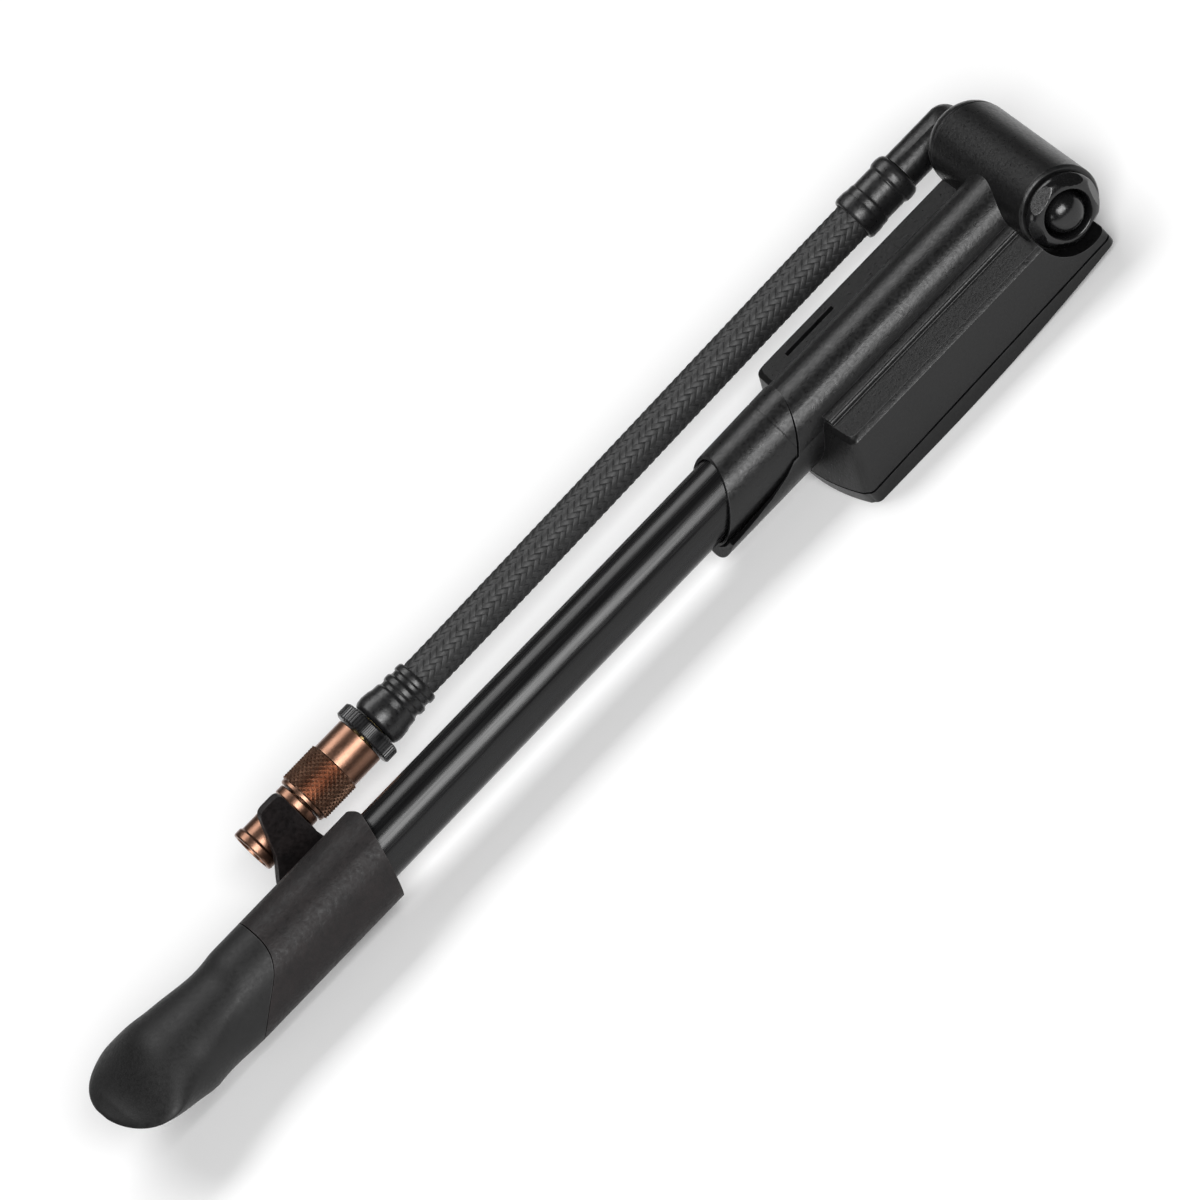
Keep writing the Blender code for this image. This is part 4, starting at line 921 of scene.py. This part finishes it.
def make_chuck():
    at = (CHUCK_Y, 0.0)
    nose = [(78.4, 2.9), (71.3, 2.9), (71.3, 4.7), (71.1, 4.86), (69.6, 4.86), (69.4, 4.45), (60.0, 4.45),
            (59.6, 4.8), (58.2, 4.8), (57.9, 4.6), (57.9, 3.85), (67.0, 3.85), (67.0, 1.4), (78.4, 1.4)]
    piece = turned("chuck_nose_fine", nose, "X", at, ring=True, steps=ROUND, reach=0.15)
    place(piece, "copper_metal", "chuck", "copper_metal", "chuck_nose")

    inside = [(88.1, 3.0), (87.5, 3.0), (87.5, 4.7), (78.9, 4.7), (78.9, 3.2), (71.6, 3.2)]
    head = [(71.6, 5.2), (71.8, 5.38), (72.4, 5.38)]
    tail = [(KNURL_X[1] + 0.3, 5.38), (87.9, 5.38), (88.1, 5.2)]
    across = 2 * KNURLS_ROUND
    rings = []
    for x, radius in inside + head:
        rings.append([(x, radius)] * across)
    rows = 2 * KNURL_ROWS
    for row in range(rows + 1):
        x = KNURL_X[0] + (KNURL_X[1] - KNURL_X[0]) * row / rows
        rings.append([(x, KNURL_R[(row + i) % 2]) for i in range(across)])
    for x, radius in tail:
        rings.append([(x, radius)] * across)
    verts = []
    for ring in rings:
        for i, (x, radius) in enumerate(ring):
            angle = 2 * math.pi * i / across
            verts.append((x, CHUCK_Y + radius * math.cos(angle), radius * math.sin(angle)))
    faces = []
    first_row = len(inside) + len(head)
    for a, b, c, d in tube_faces(len(rings), across, True):
        row = a // across - first_row
        if 0 <= row < rows:
            # Each square folds along the groove between its two low corners
            if (row + a % across) % 2 == 0:
                faces += [(a, b, c), (a, c, d)]
            else:
                faces += [(a, b, d), (b, c, d)]
        else:
            faces.append((a, b, c, d))
    sleeve = make("knurled_sleeve_fine", verts, faces, smooth=25.0)
    place(sleeve, "copper_metal", "chuck", "copper_metal", "knurled_sleeve")

    low, high = LOCK_RING_X
    rings = []
    rim = LOCK_RING_R - 0.1
    profile = [(low, 3.0, 0), (low, 6.3, 0), (low + 0.35, rim, 1), (high - 0.35, rim, 1), (high, 6.3, 0),
               (high, 3.0, 0)]
    steps = 6 * LOCK_RING_TEETH
    for x, radius, toothed in profile:
        loop = []
        for i in range(steps):
            angle = 2 * math.pi * i / steps
            tooth = toothed * (0.1 if i % 6 < 3 else -0.08)
            loop.append((x, CHUCK_Y + (radius + tooth) * math.cos(angle), (radius + tooth) * math.sin(angle)))
        rings.append(loop)
    ring = loft("lock_ring_fine", rings, closed=True, smooth=30.0)
    place(ring, "anodised_black", "lock", "black_metal", "lock_ring")


# ---------------------------------------------------------------- pieces kept from the frame

def dress_frame():
    """Gives each CAD node that still shows the material of its record slot."""
    plain = {
        "barrel_guide": "handle_plastic", "rod_seal": "rubber", "valve_spring": "spring_steel",
        "pressure_sensor": "steel", "circuit_board": "circuit_board", "board_screw_1": "steel",
        "board_screw_2": "steel", "board_screw_3": "steel", "board_screw_4": "steel",
        "coin_battery": "nickel", "display_panel": "lcd", "bleed_spring": "spring_steel",
        "rod_pin": "steel", "piston": "brass", "piston_seal": "rubber", "piston_nut": "steel",
        "elbow_seal_1": "rubber", "elbow_seal_2": "rubber", "chuck_stem": "brass", "chuck_seal": "rubber",
        "depressor_pin": "steel", "bleed_seal": "rubber", "valve_ball": "steel",
    }
    for name, look in plain.items():
        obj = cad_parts[name]
        for index in range(max(1, len(obj.material_slots))):
            obj.material_slots[index].material = LOOKS[look]


# ---------------------------------------------------------------- floor, light and camera

def area_light(name, towards, distance, size, power, target):
    """A soft box that faces the target from a direction."""
    data = bpy.data.lights.new(name, "AREA")
    data.shape = "RECTANGLE"
    data.size, data.size_y = size
    data.energy = power
    light = bpy.data.objects.new(name, data)
    bpy.context.scene.collection.objects.link(light)
    direction = Vector(towards).normalized()
    light.location = target + direction * distance
    light.rotation_euler = direction.to_track_quat("Z", "Y").to_euler()
    return light


def make_stage(target):
    bm = bmesh.new()
    bmesh.ops.create_grid(bm, x_segments=1, y_segments=1, size=6.0)
    mesh = bpy.data.meshes.new("floor")
    bm.to_mesh(mesh)
    bm.free()
    floor = bpy.data.objects.new("floor", mesh)
    floor.location.z = -FLOOR_GAP * MM
    bpy.context.scene.collection.objects.link(floor)
    mat = bpy.data.materials.new("pale_floor")
    mat.use_nodes = True
    shader = mat.node_tree.nodes["Principled BSDF"]
    shader.inputs["Base Color"].default_value = (0.95, 0.95, 0.95, 1.0)
    shader.inputs["Roughness"].default_value = 0.9
    floor.data.materials.append(mat)

    world = bpy.data.worlds.new("studio")
    world.use_nodes = True
    world.node_tree.nodes["Background"].inputs["Color"].default_value = (1.0, 1.0, 1.0, 1.0)
    world.node_tree.nodes["Background"].inputs["Strength"].default_value = 0.08
    bpy.context.scene.world = world

    area_light("back_strip", (-0.015, 0.466, 0.885), 1.3, (1.3, 0.62), 10.5,
               target + Vector((0.15, 0.0, 0.0)))
    area_light("front_box", (-0.085, -0.80, 0.60), 2.3, (1.7, 1.1), 58.0, target)
    area_light("end_box", (-0.95, -0.15, 0.35), 1.4, (0.6, 0.3), 1.5, target)
    bpy.context.scene.view_settings.view_transform = "Standard"


def make_camera(target):
    """The view of the photograph: steeply from above on the -y side, with the pump running from
    the lower left to the upper right."""
    along = Vector((0.9963, -0.0675, 0.0523))
    across = Vector((0.0, 0.612, 0.791))
    right = (along * math.cos(VIEW_LEAN) - across * math.sin(VIEW_LEAN)).normalized()
    up = (along * math.sin(VIEW_LEAN) + across * math.cos(VIEW_LEAN)).normalized()
    back = right.cross(up).normalized()
    up = back.cross(right)
    data = bpy.data.cameras.new("camera")
    data.sensor_width = 36.0
    data.lens = data.sensor_width * CAMERA_DISTANCE / VIEW_WIDTH
    data.clip_end = 20.0
    camera = bpy.data.objects.new("camera", data)
    bpy.context.scene.collection.objects.link(camera)
    turn = Matrix((right, up, back)).transposed().to_4x4()
    camera.matrix_world = Matrix.Translation(target + back * CAMERA_DISTANCE) @ turn
    bpy.context.scene.camera = camera


make_rear_housing()
make_front_cover()
make_collar()
make_barrel()
make_bleed_valve()
make_gauge_front()
make_handle()
make_rod()
make_elbow()
make_ferrules()
make_hose()
make_chuck()
dress_frame()

view_centre = spot(*VIEW_CENTRE)
make_stage(view_centre)
make_camera(view_centre)
